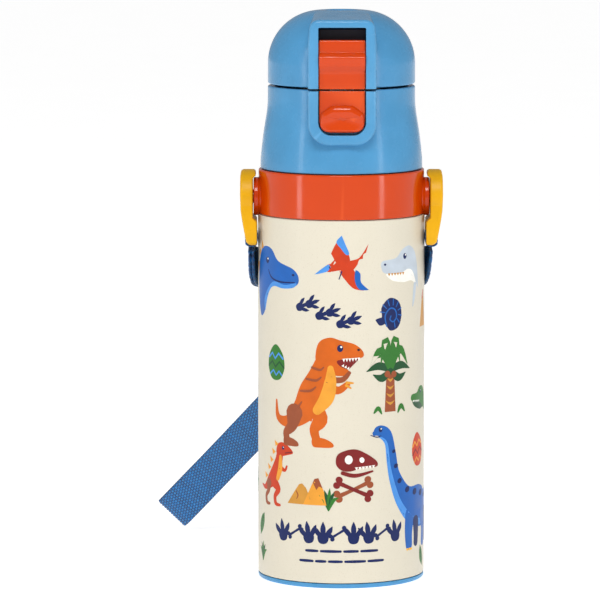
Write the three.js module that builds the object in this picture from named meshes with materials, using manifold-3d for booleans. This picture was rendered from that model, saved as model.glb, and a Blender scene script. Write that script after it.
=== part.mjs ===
// A child's direct-drink vacuum bottle: steel body, screw-on cap with a flip lid, push button and
// lock slider, two swivelling rings and a webbing strap. Millimetres, +Z up. The origin is the centre
// of the underside; the button side faces -Y and the lid hinge is at +Y.
import * as THREE from 'three';
import { mergeVertices } from 'three/addons/utils/BufferGeometryUtils.js';
import Module from 'manifold-3d';

const wasm = await Module();
wasm.setup();

// ---- driving dimensions ----
const GAP = 0.3; // between pieces that touch
const bodyRadius = 31.65;
const bodyBottom = 2.0;
const bodyTop = 139.2;
const steel = 0.5; // wall of the outer shell
const vesselSteel = 0.45; // wall of the inner vessel
const vesselRadius = 29.1;
const neckRadius = 23.0;
const neckTop = 167.2;
const mouthRadius = 21.0;
const bandRadius = 31.45;
const bandTop = 156.3;
const splitHeight = 188.2; // where the lid meets the collar
const splitGap = 0.7;
const lidRadius = 27.9;
const lidCorner = 20; // radius of the lid's rounded shoulder
const lidWall = 2.7;
const lidTop = 217;
const threadLead = 5;
const padHalfWidth = 12.75;
const padFront = -32.5;
const padBottom = 167.5;
const padTop = 213.8;
const windowHalfWidth = 8.9;
const windowBottom = 171.3;
const windowTop = 210.9;
const hinge = { y: 30.2, z: 188.2, pinRadius: 1.2, boreRadius: 1.5, knuckleRadius: 3.0, reliefRadius: 3.4 };
const pivotHeight = 145.65; // swivel axis of the strap rings
const webbing = { width: 15, thickness: 1.2 };
const fine = 40; // segments of the outer turned pieces
const coarse = 28; // segments of the inner turned pieces

const collarBottom = bandTop + GAP;
const collarTop = splitHeight - splitGap / 2;
const lidBottom = splitHeight + splitGap / 2;

// ---- materials ----
const finish = (color, roughness, metalness = 0) => new THREE.MeshStandardMaterial({ color, roughness, metalness });
const bluePlastic = finish(0x5d9bcb, 0.32);
const orangePlastic = finish(0xde5516, 0.25);
const yellowPlastic = finish(0xe8b42c, 0.45);
const creamPaint = finish(0xe9e4d2, 0.4, 0.1);
const plainSteel = finish(0xb9bcbf, 0.3, 1);
const darkPlastic = finish(0x1c1620, 0.5);
const whitePlastic = finish(0xece9e2, 0.4);
const silicone = finish(0xe4e4de, 0.7);
const blueWebbing = finish(0x0a6eaf, 0.85);

// ---- making and joining solids ----
function signedVolume(points, corners) {
  const [a, b, c] = [new THREE.Vector3(), new THREE.Vector3(), new THREE.Vector3()];
  let volume = 0;
  for (let i = 0; i < corners.length; i += 3) {
    a.fromArray(points, corners[i] * 3);
    b.fromArray(points, corners[i + 1] * 3);
    c.fromArray(points, corners[i + 2] * 3);
    volume += a.dot(b.cross(c)) / 6;
  }
  return volume;
}

// A closed geometry as a manifold solid with its faces pointing out
function solid(geometry) {
  const bare = geometry.index ? geometry.toNonIndexed() : geometry.clone();
  bare.deleteAttribute('normal');
  bare.deleteAttribute('uv');
  const welded = mergeVertices(bare, 1e-4);
  const points = welded.attributes.position.array;
  const index = welded.index.array;
  const corners = [];
  for (let i = 0; i < index.length; i += 3) {
    const [a, b, c] = [index[i], index[i + 1], index[i + 2]];
    if (a !== b && b !== c && c !== a) corners.push(a, b, c);
  }
  if (signedVolume(points, corners) < 0) corners.reverse();
  const mesh = new wasm.Mesh({
    numProp: 3,
    vertProperties: new Float32Array(points),
    triVerts: new Uint32Array(corners),
  });
  return new wasm.Manifold(mesh);
}

function geometryOf(shape) {
  const mesh = shape.getMesh();
  const geometry = new THREE.BufferGeometry();
  geometry.setAttribute('position', new THREE.BufferAttribute(new Float32Array(mesh.vertProperties), 3));
  geometry.setIndex(new THREE.BufferAttribute(new Uint32Array(mesh.triVerts), 1));
  geometry.computeVertexNormals();
  return geometry;
}

// Turned about Z from a profile of [radius, height] points. A ring's profile closes on itself.
function turned(profile, { ring = true, segments = coarse } = {}) {
  const outline = ring ? [...profile, profile[0]] : profile;
  const points = outline.map(([radius, height]) => new THREE.Vector2(radius, height));
  return solid(new THREE.LatheGeometry(points, segments).rotateX(Math.PI / 2));
}

// Points of a profile arc about [centreRadius, centreHeight], from one angle to another in degrees
function arc(centreRadius, centreHeight, radius, from, to, steps) {
  const points = [];
  for (let i = 0; i <= steps; i++) {
    const angle = THREE.MathUtils.degToRad(from + ((to - from) * i) / steps);
    points.push([centreRadius + radius * Math.cos(angle), centreHeight + radius * Math.sin(angle)]);
  }
  return points;
}

function box(x0, x1, y0, y1, z0, z1) {
  const geometry = new THREE.BoxGeometry(x1 - x0, y1 - y0, z1 - z0);
  return solid(geometry.translate((x0 + x1) / 2, (y0 + y1) / 2, (z0 + z1) / 2));
}

// A cylinder whose axis runs along X
function rod(radius, x0, x1, y, z, segments = 24) {
  const geometry = new THREE.CylinderGeometry(radius, radius, x1 - x0, segments).rotateZ(Math.PI / 2);
  return solid(geometry.translate((x0 + x1) / 2, y, z));
}

// A flat outline in X and Z, pushed through from y0 to y1
function frontExtrusion(shape, y0, y1, curveSegments = 6) {
  const geometry = new THREE.ExtrudeGeometry(shape, { depth: y1 - y0, bevelEnabled: false, curveSegments });
  return solid(geometry.rotateX(Math.PI / 2).translate(0, y1, 0));
}

// A flat outline in Y and Z, pushed through from x0 to x1
function sideExtrusion(shape, x0, x1, curveSegments = 8) {
  const geometry = new THREE.ExtrudeGeometry(shape, { depth: x1 - x0, bevelEnabled: false, curveSegments });
  const turn = new THREE.Matrix4().makeBasis(
    new THREE.Vector3(0, 1, 0),
    new THREE.Vector3(0, 0, 1),
    new THREE.Vector3(1, 0, 0),
  );
  return solid(geometry.applyMatrix4(turn).translate(x0, 0, 0));
}

function polygon(points) {
  return new THREE.Shape(points.map(([u, v]) => new THREE.Vector2(u, v)));
}

// A rectangle with its own corner radius at the bottom and at the top
function roundedPanel(halfWidth, bottom, top, bottomRadius, topRadius = 0) {
  const shape = new THREE.Shape();
  shape.moveTo(-halfWidth + bottomRadius, bottom);
  shape.lineTo(halfWidth - bottomRadius, bottom);
  if (bottomRadius) shape.absarc(halfWidth - bottomRadius, bottom + bottomRadius, bottomRadius, -Math.PI / 2, 0);
  shape.lineTo(halfWidth, top - topRadius);
  if (topRadius) shape.absarc(halfWidth - topRadius, top - topRadius, topRadius, 0, Math.PI / 2);
  shape.lineTo(-halfWidth + topRadius, top);
  if (topRadius) shape.absarc(-halfWidth + topRadius, top - topRadius, topRadius, Math.PI / 2, Math.PI);
  shape.lineTo(-halfWidth, bottom + bottomRadius);
  if (bottomRadius) {
    shape.absarc(-halfWidth + bottomRadius, bottom + bottomRadius, bottomRadius, Math.PI, Math.PI * 1.5);
  }
  return shape;
}

class Helix extends THREE.Curve {
  constructor(radius, rise, turns) {
    super();
    Object.assign(this, { radius, rise, turns });
  }

  getPoint(t, target = new THREE.Vector3()) {
    const angle = t * this.turns * 2 * Math.PI;
    return target.set(this.radius * Math.cos(angle), this.radius * Math.sin(angle), t * this.rise);
  }
}

// A wire spring about Z, starting at z = 0
function coilSpring(radius, wire, length, turns) {
  const section = new THREE.Shape().absarc(0, 0, wire, 0, 2 * Math.PI);
  return new THREE.ExtrudeGeometry(section, {
    steps: turns * 8,
    curveSegments: 3,
    extrudePath: new Helix(radius, length, turns),
  });
}

// A screw thread: a ridge between two radii that climbs one lead a turn, tapered to nothing at both ends
function threadRidge(rootRadius, crestRadius, startHeight, turns) {
  const perTurn = coarse;
  const steps = Math.round(turns * perTurn);
  const points = [];
  for (let i = 0; i <= steps; i++) {
    const angle = (i / perTurn) * 2 * Math.PI;
    const run = Math.min(1, i / 5, (steps - i) / 5);
    const crest = rootRadius + (crestRadius - rootRadius) * Math.max(run, 0.05);
    const middle = startHeight + (i / perTurn) * threadLead;
    const section = [[rootRadius, -1.1], [crest, -0.45], [crest, 0.45], [rootRadius, 1.1]];
    for (const [radius, height] of section) {
      points.push(radius * Math.cos(angle), radius * Math.sin(angle), middle + height);
    }
  }
  return solid(prism(points, 4));
}

// Joins a row of sections, each with the same number of corners, into one closed skin
function prism(points, corners) {
  const sections = points.length / 3 / corners;
  const index = [];
  for (let s = 0; s < sections - 1; s++) {
    for (let k = 0; k < corners; k++) {
      const [a, b] = [s * corners + k, s * corners + ((k + 1) % corners)];
      index.push(a, b, a + corners, b, b + corners, a + corners);
    }
  }
  const last = (sections - 1) * corners;
  for (let k = 1; k < corners - 1; k++) {
    index.push(0, k + 1, k, last, last + k, last + k + 1);
  }
  const geometry = new THREE.BufferGeometry();
  geometry.setAttribute('position', new THREE.Float32BufferAttribute(points, 3));
  geometry.setIndex(index);
  return geometry;
}

// ---- the scene graph ----
const bottle = new THREE.Group();

function assembly(parent = bottle) {
  const group = new THREE.Group();
  parent.add(group);
  return group;
}

function piece(group, name, shape, material) {
  const geometry = shape.isBufferGeometry ? shape : geometryOf(shape);
  const mesh = new THREE.Mesh(geometry, material);
  mesh.name = name;
  group.add(mesh);
  return mesh;
}

const body = assembly();
const cap = assembly();
const lid = assembly();

// ---- steel body ----
const shoulderStart = 147;
const bandSeat = 30.1; // radius of the shell where the shoulder band sits on it
const shellTurn = turned([
  [bodyRadius, bodyBottom], [bodyRadius, bodyTop - 0.4], [bodyRadius - 0.4, bodyTop], [bandSeat, bodyTop],
  [bandSeat, shoulderStart],
  [28.6, 149.6], [neckRadius + 1.4, 152.6], [neckRadius, 154.2], [neckRadius, neckTop],
  [neckRadius - steel, neckTop], [neckRadius - steel, 154], [24.1, 152.2], [28.2, 149.3], [bandSeat - steel, 146.8],
  [bandSeat - steel, bodyTop], [bodyRadius - steel, bodyTop - 1.2], [bodyRadius - steel, bodyBottom],
], { segments: fine });
const neckThread = threadRidge(neckRadius - 0.3, neckRadius + 1.3, 158.3, 1.4);
piece(body, 'outer_shell', shellTurn.add(neckThread), creamPaint);

piece(body, 'inner_vessel', turned([
  [0, 5], [26, 5], [vesselRadius, 8], [vesselRadius, 145.4], [mouthRadius + vesselSteel, 152.8],
  [mouthRadius + vesselSteel, neckTop + GAP], [neckRadius - 0.1, neckTop + GAP], [neckRadius - 0.1, neckTop + 1],
  [mouthRadius, neckTop + 1], [mouthRadius, 152.5], [vesselRadius - vesselSteel, 145.1],
  [vesselRadius - vesselSteel, 8.2], [25.8, 5 + vesselSteel], [0, 5 + vesselSteel],
], { ring: false }), plainSteel);

piece(body, 'base_plate', turned([
  [0, 2.8], [30.5, 2.8], [30.5, 3.6], [8, 3.6], [6, 4.3], [0, 4.3],
], { ring: false }), plainSteel);

piece(body, 'base_cover', turned([
  [0, 0], [24, 0], [24.5, 0.4], [25.5, 0.4], [26, 0], [31, 0], [31.6, 0.6], [31.6, bodyBottom - GAP],
  [30.5, bodyBottom - GAP], [30.5, 2.4], [0, 2.4],
], { ring: false, segments: fine }), bluePlastic);

// ---- shoulder band with a boss for each strap ring ----
const bossRadius = 7.25;
const bossFace = 33.3;
const studRadius = 2.6;

function shoulderBand() {
  const ring = turned([
    [28, bodyTop + GAP], [bandRadius, bodyTop + GAP], [bandRadius, bandTop - 0.4], [bandRadius - 0.4, bandTop],
    [25.4, bandTop], [25.4, 147],
  ], { segments: fine });
  const inside = turned([
    [0, 130], [bodyRadius + GAP, 130], [bodyRadius + GAP, bodyTop + GAP], [bandSeat + GAP, bodyTop + GAP],
    [bandSeat + GAP, shoulderStart + 0.3], [29.1, 149.9], [25.4, 152.9], [24.6, 158], [0, 158],
  ], { ring: false, segments: fine });
  let band = ring;
  for (const side of [-1, 1]) {
    const [near, far] = [side * 28, side * bossFace].sort((a, b) => a - b);
    band = band.add(rod(bossRadius, near, far, 0, pivotHeight, 32));
  }
  band = band.subtract(inside);
  return band.subtract(rod(studRadius + GAP, -40, 40, 0, pivotHeight));
}
piece(body, 'shoulder_band', shoulderBand(), orangePlastic);

// ---- strap rings: a hub on the boss, a slot, and a bar for the webbing ----
const ringFoot = 127.9;
const bar = { x0: 33.2, x1: 35.1, z0: 128.4, z1: 131.4, half: 8.1 };

// The ring at +X, with its own axis and outline
function strapRing() {
  const front = new THREE.Shape();
  const hubRadius = 10.3;
  front.absarc(0, pivotHeight, hubRadius, THREE.MathUtils.degToRad(-18), THREE.MathUtils.degToRad(198));
  front.lineTo(-11.2, 133);
  front.lineTo(-11.2, 130.4);
  front.absarc(-8.7, 130.4, 2.5, Math.PI, Math.PI * 1.5);
  front.lineTo(8.7, ringFoot);
  front.absarc(8.7, 130.4, 2.5, -Math.PI / 2, 0);
  front.lineTo(11.2, 133);
  const side = polygon([
    [32.3, 156.4], [32.3, 153.9], [33.6, 153.1], [33.6, 138.2], [32.1, 136.8], [32, 133], [32, ringFoot],
    [35.2, ringFoot - 0.3], [36.1, 129],
    [38.2, 141], [38.4, 147], [38.3, 154.5], [37.6, 156.4],
  ]);
  let ring = sideExtrusion(front, 30, 40).intersect(frontExtrusion(side, -14, 14));
  const slot = roundedPanel(bar.half, bar.z1, 135.9, 1, 1.5);
  ring = ring.subtract(sideExtrusion(slot, 30, 40, 3));
  const barRoom = box(30, bar.x0, -bar.half, bar.half, 126, 132).add(box(bar.x1, 40, -bar.half, bar.half, 126, 132));
  const belowBar = box(30, 40, -bar.half, bar.half, 126, bar.z0);
  ring = ring.subtract(barRoom).subtract(belowBar);
  const bore = rod(studRadius + GAP, 30, 40, 0, pivotHeight);
  const counterbore = rod(4.9, 36.9, 40, 0, pivotHeight);
  return ring.subtract(bore).subtract(counterbore);
}

// The stud snaps into the boss and keeps the ring on it
function pivotStud() {
  const shank = rod(studRadius, 30.9, 37.5, 0, pivotHeight);
  const head = rod(4.6, 37.2, 38.3, 0, pivotHeight);
  return shank.add(head);
}

// The sewn end of the webbing, round the ring's bar
function strapEnd() {
  const { thickness, width } = webbing;
  const [x0, x1] = [bar.x0 - GAP, bar.x1 + GAP];
  const [z0, z1] = [bar.z0 - GAP, bar.z1 + GAP];
  const outer = new THREE.Shape();
  outer.moveTo(x0 - thickness, z0);
  outer.quadraticCurveTo(x0 - thickness, z0 - thickness, x0, z0 - thickness);
  outer.lineTo(x1, z0 - thickness);
  outer.quadraticCurveTo(x1 + thickness, z0 - thickness, x1 + thickness, z0);
  outer.lineTo(x1 + thickness, z1);
  outer.quadraticCurveTo(x1 + thickness, z1 + thickness, x1, z1 + thickness);
  outer.lineTo(x0, z1 + thickness);
  outer.quadraticCurveTo(x0 - thickness, z1 + thickness, x0 - thickness, z1);
  outer.closePath();
  return frontExtrusion(outer, -width / 2, width / 2, 3).subtract(box(x0, x1, -width, width, z0, z1));
}

for (const [name, turn] of [['right', 0], ['left', Math.PI]]) {
  const side = assembly(body);
  side.rotation.z = turn;
  piece(side, `strap_ring_${name}`, strapRing(), yellowPlastic);
  piece(side, `pivot_stud_${name}`, pivotStud(), orangePlastic);
  piece(side, `strap_end_${name}`, strapEnd(), blueWebbing);
}

// ---- strap: stations by hand, each a point and the direction of the webbing's width ----
function ribbon(stations, thickness) {
  const middle = new THREE.CatmullRomCurve3(stations.map((s) => new THREE.Vector3(...s.at)), false, 'centripetal');
  const across = stations.map((s) => new THREE.Vector3(...s.across).normalize());
  const points = [];
  const perSpan = 3;
  const count = (stations.length - 1) * perSpan;
  for (let i = 0; i <= count; i++) {
    const t = i / count;
    const span = Math.min(Math.floor(i / perSpan), stations.length - 2);
    const centre = middle.getPoint(t);
    const along = middle.getTangent(t);
    const width = across[span].clone().lerp(across[span + 1], i / perSpan - span);
    width.addScaledVector(along, -width.dot(along)).normalize();
    const normal = new THREE.Vector3().crossVectors(along, width);
    for (const [w, n] of [[-1, -1], [1, -1], [1, 1], [-1, 1]]) {
      const corner = centre.clone().addScaledVector(width, (w * webbing.width) / 2);
      corner.addScaledVector(normal, (n * thickness) / 2);
      points.push(corner.x, corner.y, corner.z);
    }
  }
  return solid(prism(points, 4));
}

// From the right ring round the back of the body, down to the fold on the ground, and back up
const longRun = [
  { at: [34.1, 0, 125.8], across: [0, 1, 0] },
  { at: [34.05, 0.2, 124.0], across: [-0.01, 1, 0.02] },
  { at: [33.1, 3.6, 119.7], across: [-0.06, 0.84, 0.54] },
  { at: [30.9, 11.2, 117.6], across: [-0.2, 0.55, 0.81] },
  { at: [26.9, 19.2, 115.8], across: [-0.38, 0.45, 0.81] },
  { at: [21.6, 25.0, 112.0], across: [-0.5, 0.44, 0.75] },
  { at: [6.4, 38.0, 94.0], across: [-0.54, 0.38, 0.75] },
  { at: [-12.6, 54.3, 71.6], across: [-0.6, 0.25, 0.74] },
  { at: [-31.5, 70.6, 49.1], across: [-0.65, 0.14, 0.73] },
  { at: [-50.5, 86.9, 26.7], across: [-0.69, 0.05, 0.71] },
  { at: [-66.4, 100.6, 8.2], across: [-0.72, 0, 0.69] },
  { at: [-67.4, 102.4, 7.2], across: [-0.72, 0, 0.69] },
  { at: [-65.6, 102.5, 9.1], across: [-0.72, 0, 0.69] },
  { at: [-49.7, 88.8, 27.4], across: [-0.69, 0.05, 0.71] },
  { at: [-30.5, 72.4, 49.6], across: [-0.65, 0.14, 0.73] },
  { at: [-11.4, 56.3, 71.9], across: [-0.6, 0.25, 0.74] },
  { at: [-2.3, 49.2, 82.3], across: [-0.56, 0.32, 0.75] },
];
piece(body, 'strap_long_run', ribbon(longRun, webbing.thickness), blueWebbing);

// The doubled run between the slider and the left ring, two layers thick
const doubledRun = [
  { at: [5.4, 43.0, 91.2], across: [-0.54, 0.34, 0.76] },
  { at: [7.5, 41.7, 93.7], across: [-0.5, 0.3, 0.8] },
  { at: [10.8, 43.0, 98.2], across: [-0.3, 0.2, 0.92] },
  { at: [11.0, 49.4, 102.8], across: [-0.1, 0.2, 0.97] },
  { at: [3.6, 53.4, 106.6], across: [0.06, 0.1, 0.99] },
  { at: [-5.2, 48.6, 109.6], across: [0.12, 0.1, 0.98] },
  { at: [-14.4, 36.4, 112.6], across: [0.13, 0.12, 0.98] },
  { at: [-26.5, 20.7, 115.6], across: [0.13, 0.16, 0.97] },
  { at: [-31.7, 11.6, 117.2], across: [0.15, 0.48, 0.86] },
  { at: [-33.7, 3.8, 119.6], across: [0.06, 0.83, 0.55] },
  { at: [-34.2, 0.2, 124.0], across: [0.01, 1, 0.03] },
  { at: [-34.2, 0, 125.8], across: [0, 1, 0] },
];
piece(body, 'strap_doubled_run', ribbon(doubledRun, 2 * webbing.thickness), blueWebbing);

// Flat slider with two slots that sets the strap's length, across the strap between the two runs
function strapSlider() {
  const outline = roundedPanel(5.6, -10, 10, 1.6, 1.6);
  const plate = solid(new THREE.ExtrudeGeometry(outline, { depth: 2.2, bevelEnabled: false, curveSegments: 4 }));
  return plate.subtract(box(-4.1, -1.1, -8, 8, -1, 3)).subtract(box(1.1, 4.1, -8, 8, -1, 3));
}

const sliderPlace = new THREE.Vector3(1.5, 46.3, 86.6);
const slider = piece(body, 'strap_slider', strapSlider(), darkPlastic);
const sliderAcross = new THREE.Vector3(-0.54, 0.34, 0.76).normalize();
const sliderAlong = new THREE.Vector3(0.565, -0.485, 0.668);
sliderAlong.addScaledVector(sliderAcross, -sliderAlong.dot(sliderAcross)).normalize();
const sliderNormal = new THREE.Vector3().crossVectors(sliderAlong, sliderAcross);
slider.quaternion.setFromRotationMatrix(new THREE.Matrix4().makeBasis(sliderAlong, sliderAcross, sliderNormal));
slider.position.copy(sliderPlace).addScaledVector(sliderNormal, -1.1);

// ---- cap: collar, threaded core, seal and mouthpiece ----
const collarProfile = [
  [30.7, collarBottom], [30.6, 160.5], [30.2, 165], [29.6, 169.6], [28.9, 174.2], [28.2, 178.2],
  [27.95, 181], [lidRadius, 184], [lidRadius, collarTop - 0.3], [lidRadius - 0.3, collarTop],
];

function padBlock(z0, z1) {
  const outline = roundedPanel(padHalfWidth, padBottom, padTop + 6, 8);
  const side = polygon([[-26, padBottom - 1], [padFront, padBottom - 1], [padFront, padTop - 0.7],
    [padFront + 0.7, padTop], [-9, 216.4], [-9, 205], [-20, 195], [-20, padBottom - 1]]);
  const block = frontExtrusion(outline, padFront, -5, 8).intersect(sideExtrusion(side, -20, 20));
  return block.intersect(box(-20, 20, -40, 0, z0, z1));
}

const windowOutline = roundedPanel(windowHalfWidth, windowBottom, windowTop, 5);

function collarShell() {
  const outside = turned([...collarProfile, [0, collarTop], [0, collarBottom]], { segments: fine });
  const hollow = turned([
    [0, 150], [28.4, 150], [28.4, 160], [28.0, 165], [27.1, 171], [26, 175.5], [25.4, 179], [25.4, 181.3],
    [0, 181.3],
  ], { ring: false });
  const topWell = turned([[0, 183.5], [25.4, 183.5], [25.4, 190], [0, 190]], { ring: false });
  const spoutHole = turned([[0, 180], [16.4, 180], [16.4, 186], [0, 186]], { ring: false });
  const buttonHousing = box(-10.9, 10.9, -28, -22.6, 172.9, 183.4);
  const pocketFront = frontExtrusion(windowOutline, -34, -28.4);
  const pocketBack = box(-windowHalfWidth, windowHalfWidth, -34, -24, 174.2, 192);
  const hookSlot = box(-8.3, 8.3, -27, -17.9, 183.5, 192);
  let knuckles = box(-13.4, 13.4, 24.6, hinge.y + 0.6, 184.6, hinge.z - 0.4);
  knuckles = knuckles.add(rod(hinge.knuckleRadius, -13.4, 13.4, hinge.y, hinge.z));
  const insideWall = turned([[0, 183.5], [25.4, 183.5], [25.4, 195], [0, 195]], { ring: false });
  knuckles = knuckles.subtract(insideWall);
  let shell = outside.add(padBlock(padBottom - 1, collarTop)).subtract(hollow).subtract(topWell);
  shell = shell.add(buttonHousing).subtract(spoutHole).subtract(pocketFront).subtract(pocketBack);
  shell = shell.subtract(hookSlot).add(knuckles);
  shell = shell.subtract(rod(hinge.reliefRadius, -8.4, 8.4, hinge.y, hinge.z));
  shell = shell.subtract(box(-8.4, 8.4, hinge.y - 1, hinge.y + 4, 184.4, hinge.z));
  return shell.subtract(rod(hinge.boreRadius, -12.6, 12.6, hinge.y, hinge.z));
}
piece(cap, 'collar_shell', collarShell(), bluePlastic);

const coreInside = 24.8;
const coreTurn = turned([
  [26.7, 157.2], [26.7, 171.6], [25.9, 172.4], [15.6, 172.4], [15.6, 184.4], [13.9, 184.4], [13.9, 170.6],
  [coreInside, 170.6], [coreInside, 157.2],
]);
const coreThread = threadRidge(coreInside + 0.3, coreInside - 1.35, 158.3 + threadLead / 2, 1.2);
piece(cap, 'cap_core', coreTurn.add(coreThread), whitePlastic);

piece(cap, 'cap_seal', turned([
  [19.4, 168.6], [22.8, 168.6], [23.4, 169.2], [23.4, 170.2], [19.8, 170.2], [19, 169.6],
]), silicone);

piece(cap, 'spout', turned([
  [9.6, 174], [13.5, 174], [13.5, 184.8], [15.4, 184.8], [15.4, 186.2], [12.9, 187], [12.4, 194],
  [11.7, 203.6], [11.2, 204.8], [10.5, 205.1], [9.9, 204.6], [9.7, 203],
]), whitePlastic);

piece(cap, 'spout_gasket', turned([
  [10.2, 172.2], [13.4, 172.2], [13.5, 173.7], [10.2, 173.7],
]), silicone);

// ---- lid hinge ----
piece(cap, 'hinge_pin', rod(hinge.pinRadius, -12.3, 12.3, hinge.y, hinge.z, 16), plainSteel);

const lidSpring = piece(cap, 'lid_spring', solid(coilSpring(2.2, 0.35, 6, 5)), plainSteel);
lidSpring.rotation.y = Math.PI / 2;
lidSpring.position.set(-3, hinge.y, hinge.z);

// ---- release button, with a hook that reaches round the lid's catch ----
function releaseButton() {
  const front = -31.5;
  const plate = frontExtrusion(roundedPanel(windowHalfWidth - 0.35, windowBottom + 1, collarTop, 4.7), front, -29);
  const bump = frontExtrusion(roundedPanel(7.9, 173.2, 181.8, 3.8, 3.9), -33.4, front + 0.5, 8);
  const rim = frontExtrusion(roundedPanel(7.2, 173.9, 181.1, 3.3, 3.4), -33.9, -33, 8);
  const toeRelief = box(-10, 10, -30.4, -28, windowBottom, 174.7); // clears the pocket's floor when pressed
  let button = plate.subtract(toeRelief).add(bump).add(rim);
  for (const side of [-1, 1]) {
    const [near, far] = [side * 5.2, side * 6.8].sort((a, b) => a - b);
    button = button.add(box(near, far, -29.4, -20.2, 184, 186.4));
  }
  const crossbar = box(-6.8, 6.8, -21.6, -20.2, 184, 186.4);
  const springCup = turned([[2.9, 0], [3.6, 0], [3.6, 1.6], [2.9, 1.6]], { segments: 20 })
    .rotate([-90, 0, 0]).translate([0, -29.2, 178.5]);
  return button.add(crossbar).add(springCup);
}
const button = assembly();
piece(button, 'release_button', releaseButton(), orangePlastic);

const buttonSpring = piece(cap, 'button_spring', solid(coilSpring(2.2, 0.3, 4, 5)), plainSteel);
buttonSpring.rotation.x = -Math.PI / 2;
buttonSpring.position.set(0, -28.4, 178.5);

// ---- lid ----
const cornerCentre = { r: lidRadius - lidCorner, z: 196.3 };

function lidShell() {
  const outside = turned([
    [0, lidBottom], [lidRadius - 0.4, lidBottom], [lidRadius, lidBottom + 0.4],
    ...arc(cornerCentre.r, cornerCentre.z, lidCorner, 0, 86, 10), [0, lidTop],
  ], { ring: false, segments: fine });
  const inside = turned([
    [0, 180], [lidRadius - lidWall, 180],
    ...arc(cornerCentre.r, cornerCentre.z, lidCorner - lidWall, 0, 90, 7), [0, 213.6],
  ], { ring: false });
  const dish = solid(new THREE.CylinderGeometry(6, 5.4, 1.2, 32).rotateX(Math.PI / 2).scale(1, 0.62, 1)
    .translate(0, -1, lidTop));
  const window = frontExtrusion(windowOutline, -34, -26.3);
  const rails = box(-10.05, 10.05, -29.8, -28.2, lidBottom - 1, windowTop - 0.4);
  let shell = outside.add(padBlock(lidBottom, 220)).subtract(inside).subtract(dish);
  shell = shell.subtract(window).subtract(rails);
  let knuckles = rod(hinge.knuckleRadius, -8.1, 8.1, hinge.y, hinge.z);
  knuckles = knuckles.add(box(-8.1, 8.1, 26, hinge.y, lidBottom + 0.4, hinge.z + hinge.knuckleRadius));
  shell = shell.add(knuckles.subtract(inside));
  for (const [x0, x1] of [[-14, -8.1], [-3.8, 3.8], [8.1, 14]]) {
    shell = shell.subtract(rod(hinge.reliefRadius, x0, x1, hinge.y, hinge.z));
  }
  return shell.subtract(rod(hinge.boreRadius, -9, 9, hinge.y, hinge.z));
}
piece(lid, 'lid_shell', lidShell(), bluePlastic);

// Liner inside the lid, with the cup that holds the mouthpiece seal
function lidLiner() {
  const outer = lidRadius - lidWall - GAP;
  const dome = lidCorner - lidWall - GAP;
  const wall = 1.3;
  const skin = turned([
    [outer, 189.5], ...arc(cornerCentre.r, cornerCentre.z, dome, 0, 90, 6), [0, cornerCentre.z + dome],
    [0, 209], [13.2, 209], [13.2, 206.6], [14.4, 206.6], [14.4, 209.6],
    ...arc(cornerCentre.r, cornerCentre.z, dome - wall, 58, 0, 4), [outer - wall, 189.5],
  ]);
  return skin.subtract(box(-5.6, 5.6, -30, -19, 180, 197.5));
}
piece(lid, 'lid_liner', lidLiner(), whitePlastic);

piece(lid, 'spout_seal', turned([
  [0, 203.6], [4.6, 203.6], [7.2, 205.5], [12.9, 205.5], [12.9, 208.7], [0, 208.7],
], { ring: false }), silicone);

// Catch on the lid that the button's crossbar holds
const catchShape = polygon([
  [-24.4, 196.6], [-24.4, 184.6], [-22.1, 184.6], [-22.1, 185.4], [-23.2, 186.4], [-23.2, 196.6],
]);
piece(lid, 'lid_catch', sideExtrusion(catchShape, -4.4, 4.4), whitePlastic);

// ---- lock slider in the lid's window ----
piece(lid, 'lock_track', box(-8.6, 8.6, -27.4, -26.6, lidBottom + 0.3, windowTop - 0.3), darkPlastic);

function lockSlider() {
  const [bottom, top] = [lidBottom, 206.3];
  const front = -31.5;
  const plate = box(-8.6, 8.6, front, -27.8, bottom, top);
  const rails = box(-9.7, 9.7, -29.4, -28.6, bottom + 1, top - 1);
  const rib = polygon([[front, 195], [-32.5, 195.8], [-33, 197], [-32.9, 199.6], [-32.2, 201], [front, 201.5],
    [-31, 201.5], [-31, 195]]);
  const springPocket = box(-4, 4, -30, -27, 191, 204.4);
  return plate.add(rails).add(sideExtrusion(rib, -8.2, 8.2)).subtract(springPocket);
}
const lock = assembly(lid);
piece(lock, 'lock_slider', lockSlider(), orangePlastic);

// Leaf that clicks against the track at either end of the slider's travel
const leafShape = polygon([
  [-29.6, 191.6], [-29.3, 191.4], [-27.8, 197.4], [-29.3, 203.8], [-29.6, 203.6], [-28.2, 197.4],
]);
piece(lock, 'lock_leaf', sideExtrusion(leafShape, -3, 3), plainSteel);

export default bottle;
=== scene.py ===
# Kids steel bottle with a flip lid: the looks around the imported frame.
# Lengths in the settings below are millimetres; Blender gets metres. Front faces -Y.
import math

import bmesh
import bpy
from mathutils import Matrix, Vector
from mathutils.geometry import tessellate_polygon


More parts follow.
